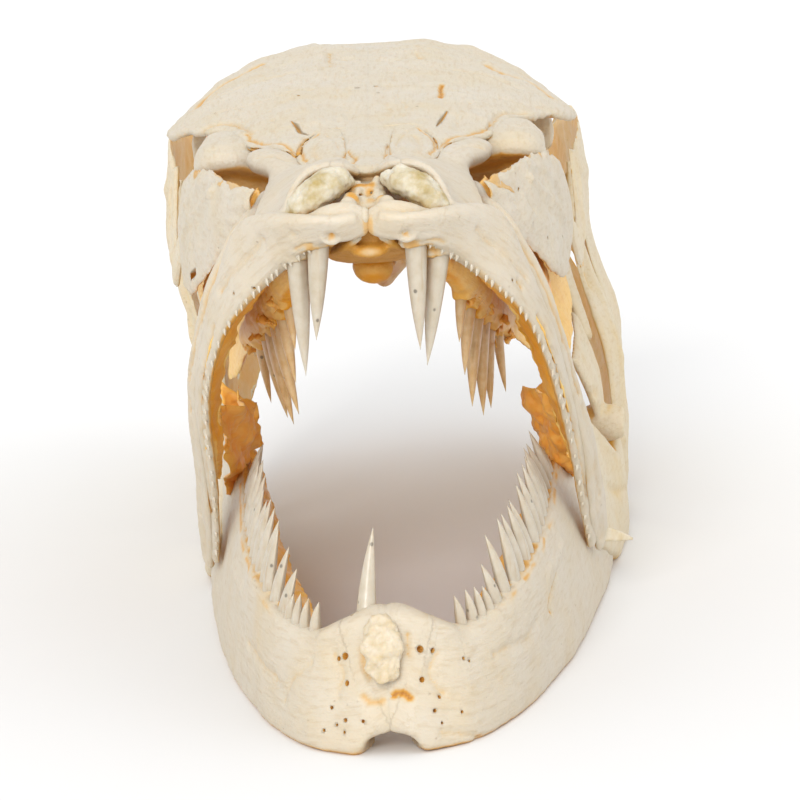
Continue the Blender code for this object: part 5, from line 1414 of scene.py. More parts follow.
plateSurface = {
    "finish": "creamBone", "slot": "cream_bone", "relief": (0.34, 0.05), "greasy": 0.4,
    "thick": 1.1, "rim": 0.45, "bevel": 0.7, "ragged": 0.5,
}
plateBones = {
    # Each plate spans two edges; it has fine lines that fan out from its heart
    "lachrymal": {
        "a": ((17.2, 48, 75.0), (21.2, 58, 75.3), (25.2, 75, 74.9), (28.6, 92, 72.4), (30.2, 104, 69.4)),
        "b": ((17.4, 48, 70.8), (20.6, 52.5, 66.0), (24.2, 60, 62.0), (28.2, 71, 56.2), (30.2, 88, 53.4),
              (31.6, 104, 56.6)),
        "bulge": (0.8, 0, 0), "steps": 165, "across": 78, "ragged": 0.55, "finish": "sunBleachedBone",
        "heart": (24, 66, 70), "lines": (0.15, 30), "slot": "bleached_bone",
        "marks": [
            (((24.5, 65, 72.6), (27.5, 75, 68), (30.2, 86.5, 62.6)), 1.1, -0.55, 0.0),
            (((23.0, 62, 71.0), (26.2, 73, 66), (29.6, 84, 61.2)), 0.8, 0.4, 0.2),
            (((20.0, 53, 73.4), (23.5, 60, 70), (25.4, 66, 65), (27.2, 72, 60.4)), 0.7, 0.3, 0.15),
            (((19.6, 54, 71.6), (22.4, 60, 66.6)), 0.6, 0.25, 0.12),
            (((28.6, 92, 70), (30.4, 97, 65), (31.4, 101, 60)), 0.8, 0.3, 0.2),
            (((27.0, 82, 73.2), (28.8, 93, 71.2)), 0.8, 0.35, 0.4),
            (((18.6, 51, 73.6), (20.6, 56, 71.4), (22.0, 60, 68.4), (23.6, 63, 64.8)), 0.4, 0.35, 0.6),
            (((22.6, 62, 74.2), (25.6, 72, 71.0), (28.2, 80, 66.4), (29.4, 84, 63.0)), 0.45, 0.4, 0.35),
            (((25.0, 70, 74.0), (28.0, 80, 71.4), (30.0, 90, 67.0)), 0.9, -0.4, 0.0),
        ],
    },
    "infraorbital": {
        "a": ((30.8, 104.7, 64.0), (32.4, 113, 57.6), (33.6, 124, 56.2), (33.9, 134, 60.0), (33.6, 139, 66.8)),
        "b": ((31.8, 104.7, 57.0), (33.4, 115, 50.4), (34.6, 128, 48.4), (35.2, 141, 53.6), (34.4, 146.5, 65.0)),
        "bulge": (0.5, 0, 0), "steps": 140, "across": 40, "ragged": 0.45,
        "heart": (33, 122, 54), "lines": (0.04, 30),
        "marks": [
            (((32.2, 109, 58.6), (34.0, 121, 53.6), (35.0, 134, 55.6), (34.6, 142, 64)), 0.9, -0.4, 0.0),
            (((32.6, 110, 56), (34.4, 122, 51.6), (35.4, 134, 53)), 0.6, 0.3, 0.2),
        ],
    },
    "pterygoid": {
        "a": ((21.0, 80.6, 45.0), (23.2, 92, 40.6), (25.8, 104, 36.2), (28.5, 115.9, 33.2)),
        "b": ((14.6, 80.6, 54.0), (13.6, 92, 53.6), (14.0, 106, 52.0), (18.0, 119.6, 50.2)),
        "bulge": (1.4, 0, 0.8), "steps": 100, "across": 50, "ragged": 0.4, "finish": "greaseAmberBone",
        "heart": (20, 100, 46), "lines": (0.05, 40), "slot": "amber_bone",
        "marks": [
            (((20, 84, 49), (22, 98, 46), (24, 112, 42)), 1.0, 0.3, 0.2),
            (((17, 84, 53), (18, 100, 51)), 0.8, 0.3, 0.3),
        ],
    },
    "metapterygoid": {
        "a": ((29.2, 117.6, 35.0), (30.2, 127, 37.3), (31.0, 138.2, 39.9)),
        "b": ((20.4, 121.0, 50.6), (24.6, 129, 53.4), (28.6, 137.9, 55.0)),
        "bulge": (1.2, 0, 0.6), "steps": 80, "across": 60, "ragged": 0.4, "finish": "greaseAmberBone",
        "heart": (28, 128, 45), "lines": (0.05, 40), "slot": "amber_bone",
        "marks": [(((28, 121, 41), (27, 127, 47), (28, 134, 52)), 1.0, 0.3, 0.2)],
    },
    "preopercle": {
        "a": ((33.6, 149.5, 63.0), (33.8, 148.0, 47), (34.4, 144.6, 31), (35.0, 143.0, 18), (34.8, 142.6, 7.0)),
        "b": ((34.6, 157.0, 62.0), (35.6, 156.8, 46), (36.9, 156.2, 29), (37.3, 154.0, 15), (36.4, 149.0, 3.6)),
        "bulge": (0.5, 0, 0), "thick": 1.4, "steps": 140, "across": 38,
        "heart": (36, 149, 22), "lines": (0.05, 48),
        "marks": [
            (((34.6, 153, 60), (35.4, 151.5, 46), (36.2, 150, 30), (36.6, 148, 16), (36, 146, 8)), 1.0, -0.6, 0.0),
            (((34.0, 150.6, 60), (34.6, 149.4, 45), (35.2, 147, 30), (35.8, 145.4, 15)), 0.7, 0.4, 0.35),
        ],
    },
    "opercle": {
        "a": ((34.9, 157.9, 63.0), (36.8, 176, 67.0), (35.8, 200, 66.6), (33.0, 220, 60.0), (30.6, 230.5, 50.0)),
        "b": ((36.3, 157.6, 23.4), (37.0, 178, 22.2), (35.6, 200, 25.4), (32.6, 218, 32.6), (30.4, 230.5, 44.0)),
        "bulge": (1.1, 0, 0), "steps": 156, "across": 92,
        "heart": (35, 158, 60), "lines": (0.07, 90),
        "marks": [(((36.6, 160, 60), (38.2, 180, 57), (37.2, 205, 50), (33.0, 226, 47.5)), 1.4, -0.45, 0.0)],
    },
    "subopercle": {
        "a": ((36.4, 160.0, 22.4), (36.6, 180, 21.6), (35.0, 201, 24.8), (31.8, 219, 32.0), (29.2, 231.6, 43.0)),
        "b": ((35.8, 164.0, 8.0), (35.0, 182, 6.4), (33.0, 203, 10.6), (29.8, 221, 21.6), (28.2, 232.5, 36.0)),
        "bulge": (0.6, 0, 0), "thick": 0.9, "steps": 150, "across": 44,
        "heart": (36, 162, 18), "lines": (0.06, 80),
        "marks": [(((36.6, 166, 18), (36, 186, 15), (33.6, 208, 20), (30.0, 226, 33)), 1.0, 0.25, 0.15)],
    },
    "interopercle": {
        "a": ((35.8, 150.8, 9.6), (36.4, 157, 12.6), (36.0, 163.2, 13.0)),
        "b": ((34.6, 147.4, 1.6), (34.8, 156, 1.2), (34.8, 165.0, 4.6)),
        "bulge": (0.4, 0, 0), "thick": 0.9, "steps": 60, "across": 40, "ragged": 0.3,
        "heart": (35, 156, 7), "lines": (0.05, 40),
        "marks": [(((36, 151, 7), (36.2, 158, 6.8)), 0.8, 0.2, 0.15)],
    },
}

lachrymalHoles = {
    "right": [(((-26.4, 68.0, 60.0), (-28.2, 74.0, 57.6)), 1.3, 1.6),
              (((-20.6, 56.5, 68.5), (-21.6, 59, 67.2)), 0.4, 1.0)],
    "left": [(((24.1, 60, 65.9),), 0.34, 1.0), (((26.4, 67.2, 62.7),), 0.3, 1.0), (((29.1, 79.9, 60.8),), 0.3, 1.0),
             (((23.0, 58.7, 71.7),), 0.28, 1.0)],
}


def makePlate(kind, label, side):
    look = {**plateSurface, **plateBones[kind]}
    seed = len(kind) * 7 + side
    net = between(look["a"], look["b"], look["steps"], look["across"], look["bulge"], look["ragged"], seed)
    points, quads = plate(flipSide(net, side), look["thick"], look["rim"], look["bevel"])
    lines = growthLines(points, look["heart"][1:], (1, 2), cheekLines, look["lines"], seed + 5)
    points = points + faceOut(points, quads) * lines[:, None]
    finishBone(f"{kind}_bone_{label}", f"{kind}_{label}", points, quads, look, 101 + seed,
               mirrorMarks(look["marks"], side), holes=lachrymalHoles[label] if kind == "lachrymal" else ())


# The hinge of the jaws: a thick plate with a rod melted into it
hingeBones = {
    "quadrate": {
        "net": (((32.0, 128.5, 21.0), (30.6, 121, 28), (29.2, 116.5, 34.0)),
                ((33.0, 134.0, 21.0), (32.2, 138, 30), (30.8, 138.5, 38.5)), 60, 50, (0.4, 0, 0)),
        "thick": 1.8, "grit": 0.34, "around": 32, "steps": 30, "blunt": False,
        "rod": ((28.8, 131.0, 20.0, 2.6, 2.4), (31.5, 131.0, 20.0, 3.5, 3.3), (34.5, 131.0, 20.0, 3.5, 3.3),
                (37.0, 131.0, 20.0, 2.7, 2.5)),
        "relief": (0.16, 0.06), "greasy": 0.35, "seed": 121,
        "marks": [(((31.6, 124, 27), (32.0, 131, 24.5)), 0.9, 0.4, 0.3),
                  (((31, 122, 33), (32, 134, 36)), 0.8, 0.3, 0.2)],
    },
    "hyomandibular": {
        "net": (((29.0, 139.6, 65.4), (29.2, 139.0, 56), (30.4, 139.6, 46), (31.4, 139.8, 33.0)),
                ((29.4, 163.0, 65.4), (30.6, 157.0, 56), (31.6, 150.0, 46), (32.2, 145.6, 33.0)), 110, 60,
                (0.6, 0, 0)),
        "thick": 1.6, "grit": 0.4, "around": 24, "steps": 80, "blunt": True,
        "rod": ((28.8, 151, 64.0, 3.2, 1.7), (30.6, 149, 54, 1.9, 1.6), (31.6, 144.5, 42, 1.5, 1.4),
                (32.2, 142.8, 33.4, 1.3, 1.2)),
        "relief": (0.2, 0.07), "greasy": 0.25, "seed": 131, "marks": [],
    },
}


def makeHinge(kind, label, side):
    look = {**plateSurface, **hingeBones[kind]}
    pieces = [(*plate(flipSide(between(*look["net"]), side), look["thick"], rim=0.6), noTris)]
    pieces.append(sweep(flipSide(look["rod"], side), (0, 1, 0), look["around"], look["steps"], look["blunt"]))
    points, quads = melt(pieces, look["grit"])
    finishBone(f"{kind}_bone_{label}", f"{kind}_{label}", points, quads, look, look["seed"] + side,
               mirrorMarks(look["marks"], side))


for label, side in sides.items():
    for kind in plateBones:
        makePlate(kind, label, side)
    for kind in hingeBones:
        makeHinge(kind, label, side)
print("cheek and gill cover ready")


# Lower jaw

jawShape = {
    # x, y, top, foot, thickness, lean
    "face": ((0.15, -2.0, 21.0, 3.2, 8.8, 5.0), (3.0, -2.5, 20.6, 2.4, 8.6, 5.0), (5.2, -2.2, 19.8, 0.2, 8.4, 4.9),
             (8.2, -0.4, 18.6, 0.0, 7.8, 4.4), (12.6, 3.6, 16.9, 0.0, 6.8, 3.4), (18.2, 15.0, 16.8, 0.0, 5.4, 1.6),
             (22.8, 30.5, 18.8, 0.0, 4.8, 1.6), (27.3, 50.5, 21.2, 0.0, 4.4, 3.2),
             (30.8, 75.0, 24.6, 0.0, 4.2, 5.0), (32.6, 90.0, 28.6, 0.0, 4.0, 5.2),
             (33.4, 100.0, 29.6, 0.0, 3.4, 4.6), (34.0, 107.0, 25.6, 0.8, 2.4, 4.0)),
    "section": ((0.0, 0.16), (0.12, 0.02), (0.42, 0.0), (0.75, 0.0), (0.96, 0.10), (1.0, 0.32), (0.93, 0.62),
                (0.6, 0.72), (0.25, 0.95), (0.0, 0.86)),
    "articular": ((31.4, 82.0, 14.5, 11.0, 7.0, 1.2), (32.9, 90.0, 19.6, 7.6, 7.0, 2.8),
                  (34.0, 100.0, 24.6, 4.4, 6.6, 3.8), (35.0, 108.6, 25.8, 1.6, 6.2, 4.0),
                  (35.6, 114.0, 24.4, 0.0, 6.4, 3.6), (36.4, 121.0, 20.4, 0.0, 6.8, 2.4),
                  (36.9, 127.0, 16.2, 0.0, 7.4, 1.0), (37.1, 132.0, 15.0, 0.0, 7.6, 0.4),
                  (37.0, 136.5, 17.8, 0.0, 7.0, 0.2), (36.6, 140.0, 15.0, 1.2, 4.8, 0.2)),
    "around": 60, "steps": 360, "grit": 0.38,
    "finish": "ivoryBone", "relief": (0.16, 0.06), "greasy": 0.5,
    # The chin's crest runs down evenly to each side
    "hump": ((-0.6, 4.6, 19.1, 3.0, 1.6), (2.4, 4.4, 18.8, 3.0, 1.6), (5.4, 4.8, 17.6, 2.8, 1.5),
             (9.0, 6.6, 16.4, 2.4, 1.4)),
    "chinFang": ((-3.1, 5.4, 15.5), (-1.3, 8.0, 31.2), 3.4, 3.2),
    # Short teeth at the chin, then the long ones back to the corner of the mouth
    "smallTeeth": {"count": 4, "start": 10.0, "step": 1.9, "tall": 4.0, "wide": 1.9, "lean": 0.7},
    "largeTeeth": {"count": 15, "start": 19.0, "run": 55.0, "tall": 9.6, "wide": 3.7, "lean": 2.7},
    "toothRoot": 2.6, "toothThick": 2.0, "chinSoftening": 60,
    "seeds": {"left": 7, "right": 3},
    "marks": {
        "right": [
            (((-22.2, 30.8, 9.2), (-19.8, 21.5, 8.5), (-16.7, 13.3, 7.8)), 0.8, 0.4, 0.15),
            (((-3.8, -2.0, 8.9), (-2.6, -2.4, 7.9), (-1.2, -2.6, 7.9), (-0.3, -2.7, 8.4)), 0.5, 0.4, 0.5),
            (((-3.6, 0.6, 15.0), (-3.2, -0.4, 12.6), (-2.6, -1.0, 11.4)), 0.5, 0.35, 0.45),
            (((-12.5, 4.6, 12.5), (-14.5, 8.6, 9.0), (-15.6, 11, 5.5)), 0.7, 0.3, 0.1),
            (((-9.0, 1.0, 15.0), (-7.4, 0.0, 12.0), (-7.8, 0.4, 8.5)), 0.7, 0.35, 0.15),
            (((-24.5, 38, 15.8), (-27.5, 52, 17), (-30, 66, 19)), 0.9, -0.35, 0.0),
        ],
        "left": [
            (((21.4, 28.2, 11), (19.9, 22.3, 10.3), (17.3, 15.3, 10.7), (15.2, 11.1, 10.9)), 0.8, 0.4, 0.15),
            (((24.4, 44.9, 14.1), (22.9, 35.5, 11.8), (23.4, 36.7, 10.1)), 0.4, 0.35, 0.3),
            (((7.2, -0.4, 2.7), (12.2, 4.8, 0.8)), 0.5, 0.3, 0.3),
            (((0.3, -2.7, 8.9), (1.2, -2.6, 9.5), (2.2, -2.6, 9.4), (3.4, -2.4, 8.5)), 0.45, 0.5, 0.85),
            (((3.2, 1.0, 17.0), (3.2, 0.2, 14.4)), 0.5, 0.35, 0.35),
            (((8.6, 0.6, 14.5), (7.0, -0.4, 11.5), (8.0, 0.2, 8.5)), 0.7, 0.35, 0.15),
            (((24.5, 38, 15.8), (27.5, 52, 17), (30, 66, 19)), 0.9, -0.35, 0.0),
        ],
    },
    "pores": {
        "right": [((-5.7, 2.2, 13.8), 0.5), ((-6.8, 2.7, 13.4), 0.34), ((-5.7, 0.7, 10.2), 0.42),
                  ((-8.2, 1.2, 6.6), 0.26), ((-6.2, -0.4, 5.1), 0.3), ((-6.5, -0.7, 3.4), 0.24),
                  ((-3.7, -1.7, 5.2), 0.26), ((-7.6, 0.2, 4.3), 0.22), ((-9.5, 1.3, 3.3), 0.24),
                  ((-4.6, 4.6, 18.9), 0.26)],
        "left": [((4.5, 1.8, 14.4), 0.5), ((6.1, 2.7, 14.1), 0.34), ((4.7, 0.2, 10.4), 0.42),
                 ((7.1, 0.7, 7.6), 0.3), ((6.3, -0.2, 5.9), 0.3), ((10.1, 2.1, 4.9), 0.24), ((7.3, -0.1, 4), 0.22),
                 ((10.6, 5, 12), 0.26), ((11.5, 5.7, 11.4), 0.22)],
    },
}


def jawRing(side, station, ahead):
    x, y, top, low, thick, lean = station
    low = max(low, 0.0)
    out = np.array((ahead[1], -ahead[0]))
    ring = []
    for f, t in jawShape["section"]:
        point = np.array((x, y)) - out * (thick * t + lean * f**1.3)
        ring.append((side * max(point[0], 0.12), point[1], low + (top - low) * f))
    return ring


def jawAhead(face, i):
    return unit(face[min(i + 1, len(face) - 1)][:2] - face[max(i - 1, 0)][:2])


def jawRings(side, count):
    face = through(jawShape["face"], count)
    face[0][0] = 0.15
    # The halves have grown together at the chin: each starts a little past the middle, inside the other.
    start = np.array(jawRing(1, face[0], np.array((1.0, 0.0))))
    hub = start.mean(0)
    rings = [np.array((side, 1, 1)) * ((start - hub) * 0.93 + hub - (0.8, 0, 0))]
    for i, station in enumerate(face):
        rings.append(jawRing(side, station, np.array((1.0, 0.0)) if i == 0 else jawAhead(face, i)))
    return rings


def jawCrest(count):
    # The line that the lower teeth stand on: x, y, height and the direction along the jaw.
    face = through(jawShape["face"], count)
    marks = []
    for i, (x, y, top, low, thick, lean) in enumerate(face):
        ahead = jawAhead(face, i)
        crown = np.array((x, y)) - np.array((ahead[1], -ahead[0])) * (thick * 0.38 + lean)
        marks.append((crown[0], crown[1], top, ahead[0], ahead[1]))
    return through(marks[6:], 200)


def makeDentary(label, side):
    look = jawShape
    pieces = [sectionLoft(jawRings(side, 120), look["around"], look["steps"])]
    line = jawCrest(25)
    draw = random.Random(look["seeds"][label])
    teeth = []

    def addTooth(y, tall, wide, lean):
        mark = min(line, key=lambda m: abs(m[1] - y))
        root = np.array((side * mark[0], mark[1], mark[2] - look["toothRoot"]))
        tip = np.array((side * (mark[0] - lean), mark[1] - 0.8 + draw.uniform(-0.3, 0.3), mark[2] + tall))
        along = (side * mark[3], mark[4], 0)
        teeth.append(toothForm(root, tip, wide, look["toothThick"], along, (side * 0.35, 0, 0), 0.65, 20, 30, 0.88))
        # The bone heaps up round the tooth's foot
        foot = root + (tip - root) * 0.2
        for k in (-1, 1):
            pieces.append(egg(foot + np.array(along) * wide * 0.3 * k, (0.8, 0.95, 0.9), sideCount=12))
        pieces.append(egg(foot + (0, 0, -0.4), (1.1, 1.3, 0.9), sideCount=12))

    small, large = look["smallTeeth"], look["largeTeeth"]
    for i in range(small["count"]):
        addTooth(small["start"] + small["step"] * i, small["tall"] + draw.uniform(-0.6, 0.6), small["wide"],
                 small["lean"])
    for i in range(large["count"]):
        place = i / (large["count"] - 1)
        # The first two are shorter, and the row runs out towards the corner
        shorter = 2.6 * (1 - min(i / 2, 1)), 3.0 * max(place - 0.6, 0) / 0.4
        tall = large["tall"] - shorter[0] - shorter[1] + draw.uniform(-1.4, 0.8)
        addTooth(large["start"] + large["run"] * place + draw.uniform(-0.5, 0.5), tall,
                 large["wide"] + draw.uniform(-0.6, 0.4), large["lean"] + draw.uniform(-0.5, 0.5))
    if label == "right":
        teeth.append(toothForm(*look["chinFang"], (1, 0, 0), (-0.25, 0.2, 0), 0.15, 28, 40, 0.42))
    pieces.append(sweep(flipSide(look["hump"], side), (0, 1, 0), sideCount=24, steps=40))
    points, quads = melt(pieces, look["grit"])
    points[:, 2] = np.maximum(points[:, 2], 0.0)
    # The chin is cut off to an even crest and smoothed
    front = 1 - ramp(points[:, 1], 9, 15)
    cap = 20.9 - 0.05 * np.minimum(np.abs(points[:, 0]), 9.0) ** 2 + 40 * (1 - front)
    points[:, 2] = np.minimum(points[:, 2], cap)
    points = soften(points, quads, look["chinSoftening"], 0.6 * front * ramp(points[:, 2], 11, 15))
    pores = [((spot,), radius * 0.95, 0.55) for spot, radius in look["pores"][label]]

    def stainAndShadeOf(p, n):
        # A thin ragged amber line along the feet of the teeth, and amber on the jaw's inner faces, partly grease
        # and partly painted shade
        gum = line[::4, :3] * np.array((side, 1, 1)) + (side * 1.1, -0.3, -0.7)
        gum[:, 2] += 0.6 * cloud(gum, 1.6, 88)
        away = nearPath(p, gum)[0]
        gumLine = 0.5 * np.exp(-(away / 0.4) ** 2) * ramp(p[:, 1], 12, 26) * ramp(cloud(p, 2.2, 89), -0.6, 0.4)
        inside = 0.8 * ramp(-n[:, 0] * side, 0.05, 0.5) * ramp(p[:, 1], 8, 20)
        return np.maximum(gumLine, inside)

    node = f"dentary_{label}"
    grain = [(side * p[0], p[1], (p[2] + p[3]) / 2) for p in look["face"]]
    finishBone(f"dentary_bone_{label}", node, points, quads, look, 141, look["marks"][label], grain, pores, stainAndShadeOf)
    joinTeeth(f"dentary_teeth_{label}", node, teeth)


articularShape = {
    "around": 60, "steps": 160, "grit": 0.42,
    "grain": ((35, 82, 10), (36, 140, 9)),
    "finish": "creamBone", "slot": "cream_bone", "relief": (0.2, 0.07), "greasy": 0.6,
    "marks": [(((35, 108, 14), (36, 120, 10), (36.8, 132, 8)), 1.0, 0.4, 0.25),
              (((34.6, 104, 22), (35.6, 114, 21), (36.4, 122, 17)), 0.8, -0.35, 0.0)],
}


def makeArticular(label, side):
    look = articularShape
    rings = [jawRing(side, station, np.array((0.0, 1.0))) for station in jawShape["articular"]]
    points, quads = melt([sectionLoft(rings, look["around"], look["steps"])], look["grit"])
    points[:, 2] = np.maximum(points[:, 2], 0.0)
    finishBone(f"articular_bone_{label}", f"articular_{label}", points, quads, look, 151 + side,
               mirrorMarks(look["marks"], side), flipSide(look["grain"], side))


for label, side in sides.items():
    makeDentary(label, side)
    makeArticular(label, side)
print("lower jaw ready")


# Cartilage and dried flesh

def softPiece(name, node, points, quads, look, seed):
    # Lumps of one size with finer ones on them: (height, size, height of the finer ones)
    broad, size, fine = look["lumps"]
    push = broad * cloud(points, size, seed) + fine * cloud(points, size * 0.32, seed + 2)
    push = push + fine * 0.5 * cloud(points, 0.5, seed + 4)
    points = points + faceOut(points, quads) * push[:, None]
    mesh = makeMesh(name, intoFrame(points), quads)
    mesh.shade_smooth()
    mesh.materials.append(finishes[look["finish"]])
    made = placeObject(name, mesh)
    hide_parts(node)
    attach(made, "root")


chinLump = {
    "path": ((-0.5, 1.2, 18.6, 2.2, 1.2), (-0.5, -0.5, 16.0, 3.0, 1.7), (-0.4, -1.4, 13.6, 2.6, 1.5),
             (-0.2, -2.0, 11.8, 1.8, 1.1)),
    "grains": 46, "grainSize": (0.4, 0.85), "grit": 0.22,
    "finish": "bleachedCartilage", "slot": "dried_cartilage", "lumps": (0.4, 1.3, 0.16),
}
snoutPad = {
    "path": ((3.3, 24.6, 79.3, 1.2, 1.1), (5.1, 22.9, 79.0, 2.0, 1.6), (7.3, 21.7, 77.9, 2.3, 1.7),
             (9.4, 21.5, 76.2, 2.0, 1.5), (10.8, 21.7, 74.4, 1.2, 0.9)),
    "fatter": (1, 1, 1, 1.22, 1.3), "grit": 0.22,
    "finish": "driedCartilage", "slot": "dried_cartilage", "lumps": (0.4, 2.0, 0.14),
}


def makeSymphysis():
    look = chinLump
    pieces = [sweep(look["path"], (1, 0, 0), sideCount=30, steps=60)]
    draw = random.Random(9)
    for i in range(look["grains"]):
        z = draw.uniform(10.6, 18.4)
        reach = 2.6 - 1.2 * abs(z - 15.4) / 4
        x = -0.5 + draw.uniform(-reach, reach)
        spot = (x, -1.2 - (16.5 - z) * 0.3 + abs(x + 0.5) * 0.3, z)
        size = draw.uniform(*look["grainSize"])
        pieces.append(egg(spot, (size, size * 0.7, size), sideCount=12))
    points, quads = melt(pieces, look["grit"], rounds=4)
    softPiece("chin_cartilage", "symphysis_cartilage", points, quads, look, 160)


def makePad(label, side):
    look = snoutPad
    path = flipSide(look["path"], side) * look["fatter"]
    points, quads = melt([sweep(path, (0, 1, 0.4), sideCount=30, steps=60)], look["grit"])
    softPiece(f"snout_cartilage_{label}", f"rostral_cartilage_{label}", points, quads, look, 170 + side)


# Skin and gum dried to thin crumpled sheets between two edges, and felts of threads round some centres
driedSheet = {"finish": "driedFlesh", "slot": "amber_bone", "thick": 0.6, "lumps": (0.05, 1.2, 0.03)}
driedFelt = {"finish": "driedFlesh", "slot": "amber_bone", "grit": 0.26, "sag": 0.9, "lumps": (0.12, 1.2, 0.08)}
driedParts = {
    # A web at the corner of the mouth, from the jaw's edge to the palate
    "mouth_corner_web": {
        "bone": "dentary", "seed": 200, "steps": 92, "across": 74, "folds": 1.4, "ragged": 1.6,
        "edges": (((26.2, 62, 38.5), (26.8, 67, 33.5), (27.4, 73, 27.0), (28.2, 80, 21.5)),
                  ((22.2, 80, 37.0), (21.6, 83, 32.5), (22.4, 86, 26.0), (25.0, 88, 19.6))),
    },
    # Gum along the inside of the tooth row
    "jaw_gum": {
        "bone": "dentary", "seed": 280, "steps": 150, "across": 34, "folds": 0.5, "ragged": 0.7,
        "edges": (((15.0, 19, 15.6), (18.2, 30, 16.6), (20.6, 43, 18.0), (22.0, 56, 20.0), (23.0, 70, 22.4),
                   (24.4, 84, 26.5)),
                  ((10.6, 20, 12.4), (12.6, 34, 13.6), (15.0, 46, 14.8), (17.2, 58, 16.6), (19.2, 68, 18.6),
                   (22.2, 84, 23.0))),
    },
    "mouth_corner_fold": {
        "bone": "dentary", "seed": 206, "steps": 76, "across": 58, "folds": 1.5, "ragged": 1.4,
        "edges": (((27.4, 84, 39.0), (27.8, 90, 31.0), (28.0, 96, 22.0)),
                  ((21.6, 88, 34.0), (22.8, 92, 27.0), (25.0, 97, 19.0))),
    },
    # Each nest of threads: centre, spread, count, thickness
    "mouth_corner": {
        "bone": "dentary", "seed": 200,
        "nests": (((26.0, 84.0, 30.0), (1.8, 4.0, 5.0), 22, 0.34), ((23.6, 81.0, 34.0), (1.8, 2.6, 2.6), 14, 0.3)),
    },
    # Skin that still closes the gap between the jaw's strap and the plate in front of the eye
    "snout_skin": {
        "bone": "maxilla", "seed": 240, "steps": 112, "across": 48, "folds": 0.5, "ragged": 0.0,
        "edges": (((15.2, 48, 72.6), (18.6, 43.6, 67.4), (22.2, 43.4, 61.2), (25.0, 48.6, 53.0), (26.6, 56, 45.0)),
                  ((17.6, 66, 73.0), (20.8, 66, 67.0), (24.4, 72, 61.0), (27.4, 80, 55.6), (28.0, 84, 48.0))),
    },
    # Round the feet of the palatine teeth
    "palate_gum": {
        "bone": "palatine", "seed": 220,
        "nests": (((14.0, 46.0, 58.6), (2.2, 3.4, 1.8), 30, 0.34), ((16.2, 56.0, 54.4), (2.2, 4.4, 2.0), 34, 0.36),
                  ((18.2, 67.0, 50.2), (2.2, 4.6, 2.0), 30, 0.36), ((20.2, 77.0, 46.6), (1.8, 3.6, 2.2), 20, 0.32)),
    },
}
# A clear scrap of skin still stands off the rear tip of the left upper jaw
tipSkin = {
    "steps": 60, "across": 14, "thick": 0.45, "folds": 0.1, "ragged": 0.0,
    "finish": "bleachedCartilage", "slot": "bleached_bone",
    "edges": (((31.4, 79.6, 13.4), (33.2, 81.2, 12.8), (35.0, 82.8, 11.8), (36.9, 84.4, 10.3)),
              ((31.2, 79.4, 11.0), (33.0, 81.2, 10.6), (34.8, 82.9, 10.2), (36.8, 84.4, 9.9))),
}


def makeSkin(name, node, side, look, seed):
    look = {**driedSheet, **look}
    a, b = (flipSide(edge, side) for edge in look["edges"])
    net = between(a, b, look["steps"], look["across"], ragged=look["ragged"], seed=seed)
    out = np.cross(np.gradient(net, axis=0), np.gradient(net, axis=1))
    out /= np.maximum(np.linalg.norm(out, axis=2), 1e-9)[..., None]
    flat = net.reshape(-1, 3)
    push = cloud(flat, 5.0, seed + 1) + 0.5 * cloud(flat, 2.2, seed + 2) + 0.2 * cloud(flat, 0.9, seed + 3)
    push = look["folds"] * push.reshape(look["steps"], look["across"], 1)
    points, quads = plate(net + out * push, look["thick"], rim=0.5, bevel=0.3)
    softPiece(name, node, points, quads, look, seed)


def strand(start, end, sag, thick, draw):
    # One curling thread of dried flesh.
    knots = []
    for f in (0.0, 0.3, 0.65, 1.0):
        shake = np.array([draw.uniform(-1, 1) for _ in range(3)]) * sag * math.sin(math.pi * min(f + 0.1, 1))
        wide = thick * (1.25 - f)
        knots.append((*(start + (end - start) * f + shake), wide, wide * draw.uniform(0.5, 1.0)))
    return sweep(knots, (0.3, 0.5, 0.8), sideCount=7, steps=26)


def makeFlesh(name, node, side, look, seed):
    draw = random.Random(seed)
    pieces = []

    def somewhere(centre, spread, share):
        return centre + np.array([draw.gauss(0, share) for _ in range(3)]) * spread

    for centre, spread, count, thick in look["nests"]:
        centre = flipSide(centre, side)
        for i in range(count):
            start, end = somewhere(centre, spread, 0.42), somewhere(centre, spread, 0.55)
            pieces.append(strand(start, end, driedFelt["sag"], thick * draw.uniform(0.6, 1.3), draw))
        for i in range(count // 3):
            spot = somewhere(centre, spread, 0.36)
            size = thick * draw.uniform(1.4, 2.8)
            pieces.append(egg(spot, (size, size, size * 0.8), sideCount=9))
    points, quads = melt(pieces, driedFelt["grit"], rounds=1)
    softPiece(f"{name}_felt", node, points, quads, driedFelt, seed)


makeSymphysis()
for label, side in sides.items():
    makePad(label, side)
    for name, look in driedParts.items():
        make = makeFlesh if "nests" in look else makeSkin
        make(f"{name}_{label}", f"{look['bone']}_{label}", side, look, look["seed"] + side)
makeSkin("maxilla_tip_skin", "maxilla_left", 1, tipSkin, 260)
print("soft parts ready")


# Camera, table and lights

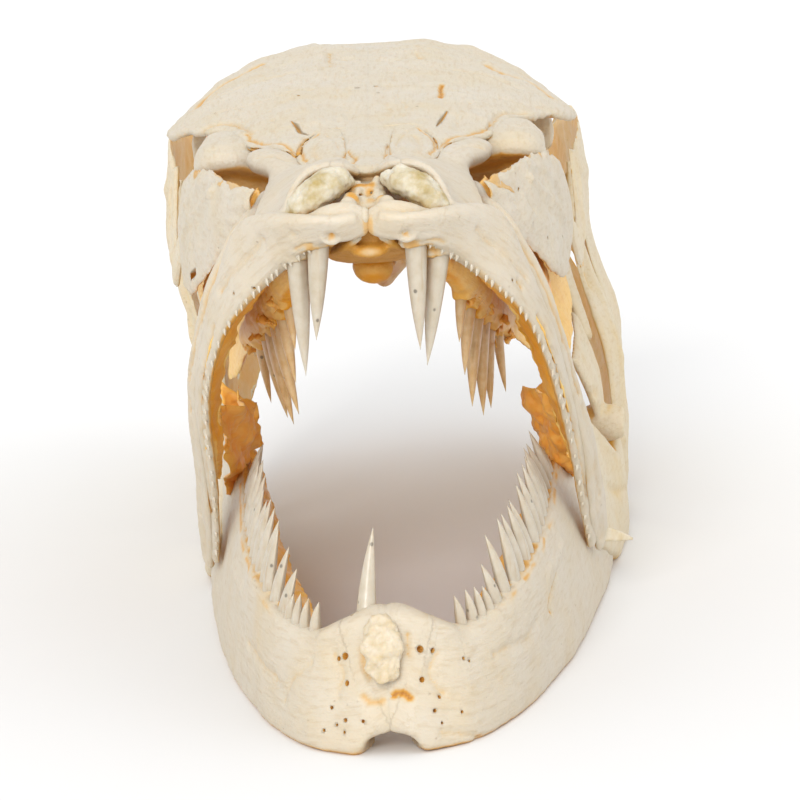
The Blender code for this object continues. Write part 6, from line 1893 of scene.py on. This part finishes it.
view = {
    "eye": (0.03011, -0.69334, 0.16371), "rise": 11.0, "turn": 2.3, "roll": 3.1, "lens": 189.0,
}
rise, turn, roll = (math.radians(view[key]) for key in ("rise", "turn", "roll"))
ahead = Vector((-math.sin(turn) * math.cos(rise), math.cos(turn) * math.cos(rise), -math.sin(rise)))
level = Vector((math.cos(turn), math.sin(turn), 0))
upright = level.cross(ahead)
rightWay = level * math.cos(roll) - upright * math.sin(roll)
upWay = level * math.sin(roll) + upright * math.cos(roll)
cameraData = bpy.data.cameras.new("camera")
cameraData.lens, cameraData.sensor_width = view["lens"], 36.0
cameraData.clip_start, cameraData.clip_end = 0.05, 20.0
camera = placeObject("camera", cameraData)
camera.matrix_world = Matrix.Translation(view["eye"]) @ Matrix((rightWay, upWay, -ahead)).transposed().to_4x4()
bpy.context.scene.camera = camera

studio = {
    "floor": "#e6e6e6", "floorSize": 6.0,
    "sky": 1.02,
    # Place, width of the source in degrees, strength: a soft window in front, low and a little to the left
    "lights": {"window": ((-0.16, -0.9, 0.44), 22.0, 1.8), "fill": ((0.9, -0.5, 0.7), 60.0, 0.36)},
}
bpy.ops.mesh.primitive_plane_add(size=studio["floorSize"])
table = bpy.context.object
table.name = "table_top"
paper, tree, shader = newMaterial("whitePaper")
shader.inputs["Base Color"].default_value = hexColour(studio["floor"])
shader.inputs["Roughness"].default_value = 0.9
table.data.materials.append(paper)
world = bpy.data.worlds.new("studio")
world.use_nodes = True
world.node_tree.nodes["Background"].inputs["Color"].default_value = (1, 1, 1, 1)
world.node_tree.nodes["Background"].inputs["Strength"].default_value = studio["sky"]
bpy.context.scene.world = world
for name, (place, spread, power) in studio["lights"].items():
    lamp = bpy.data.lights.new(name, "SUN")
    lamp.angle, lamp.energy = math.radians(spread), power
    light = placeObject(name, lamp)
    light.location = place
    light.rotation_euler = (-Vector(place)).to_track_quat("-Z", "Y").to_euler()   # each looks at the skull
bpy.context.scene.view_settings.view_transform = "Standard"
bpy.context.scene.view_settings.look = "None"
print("studio ready")
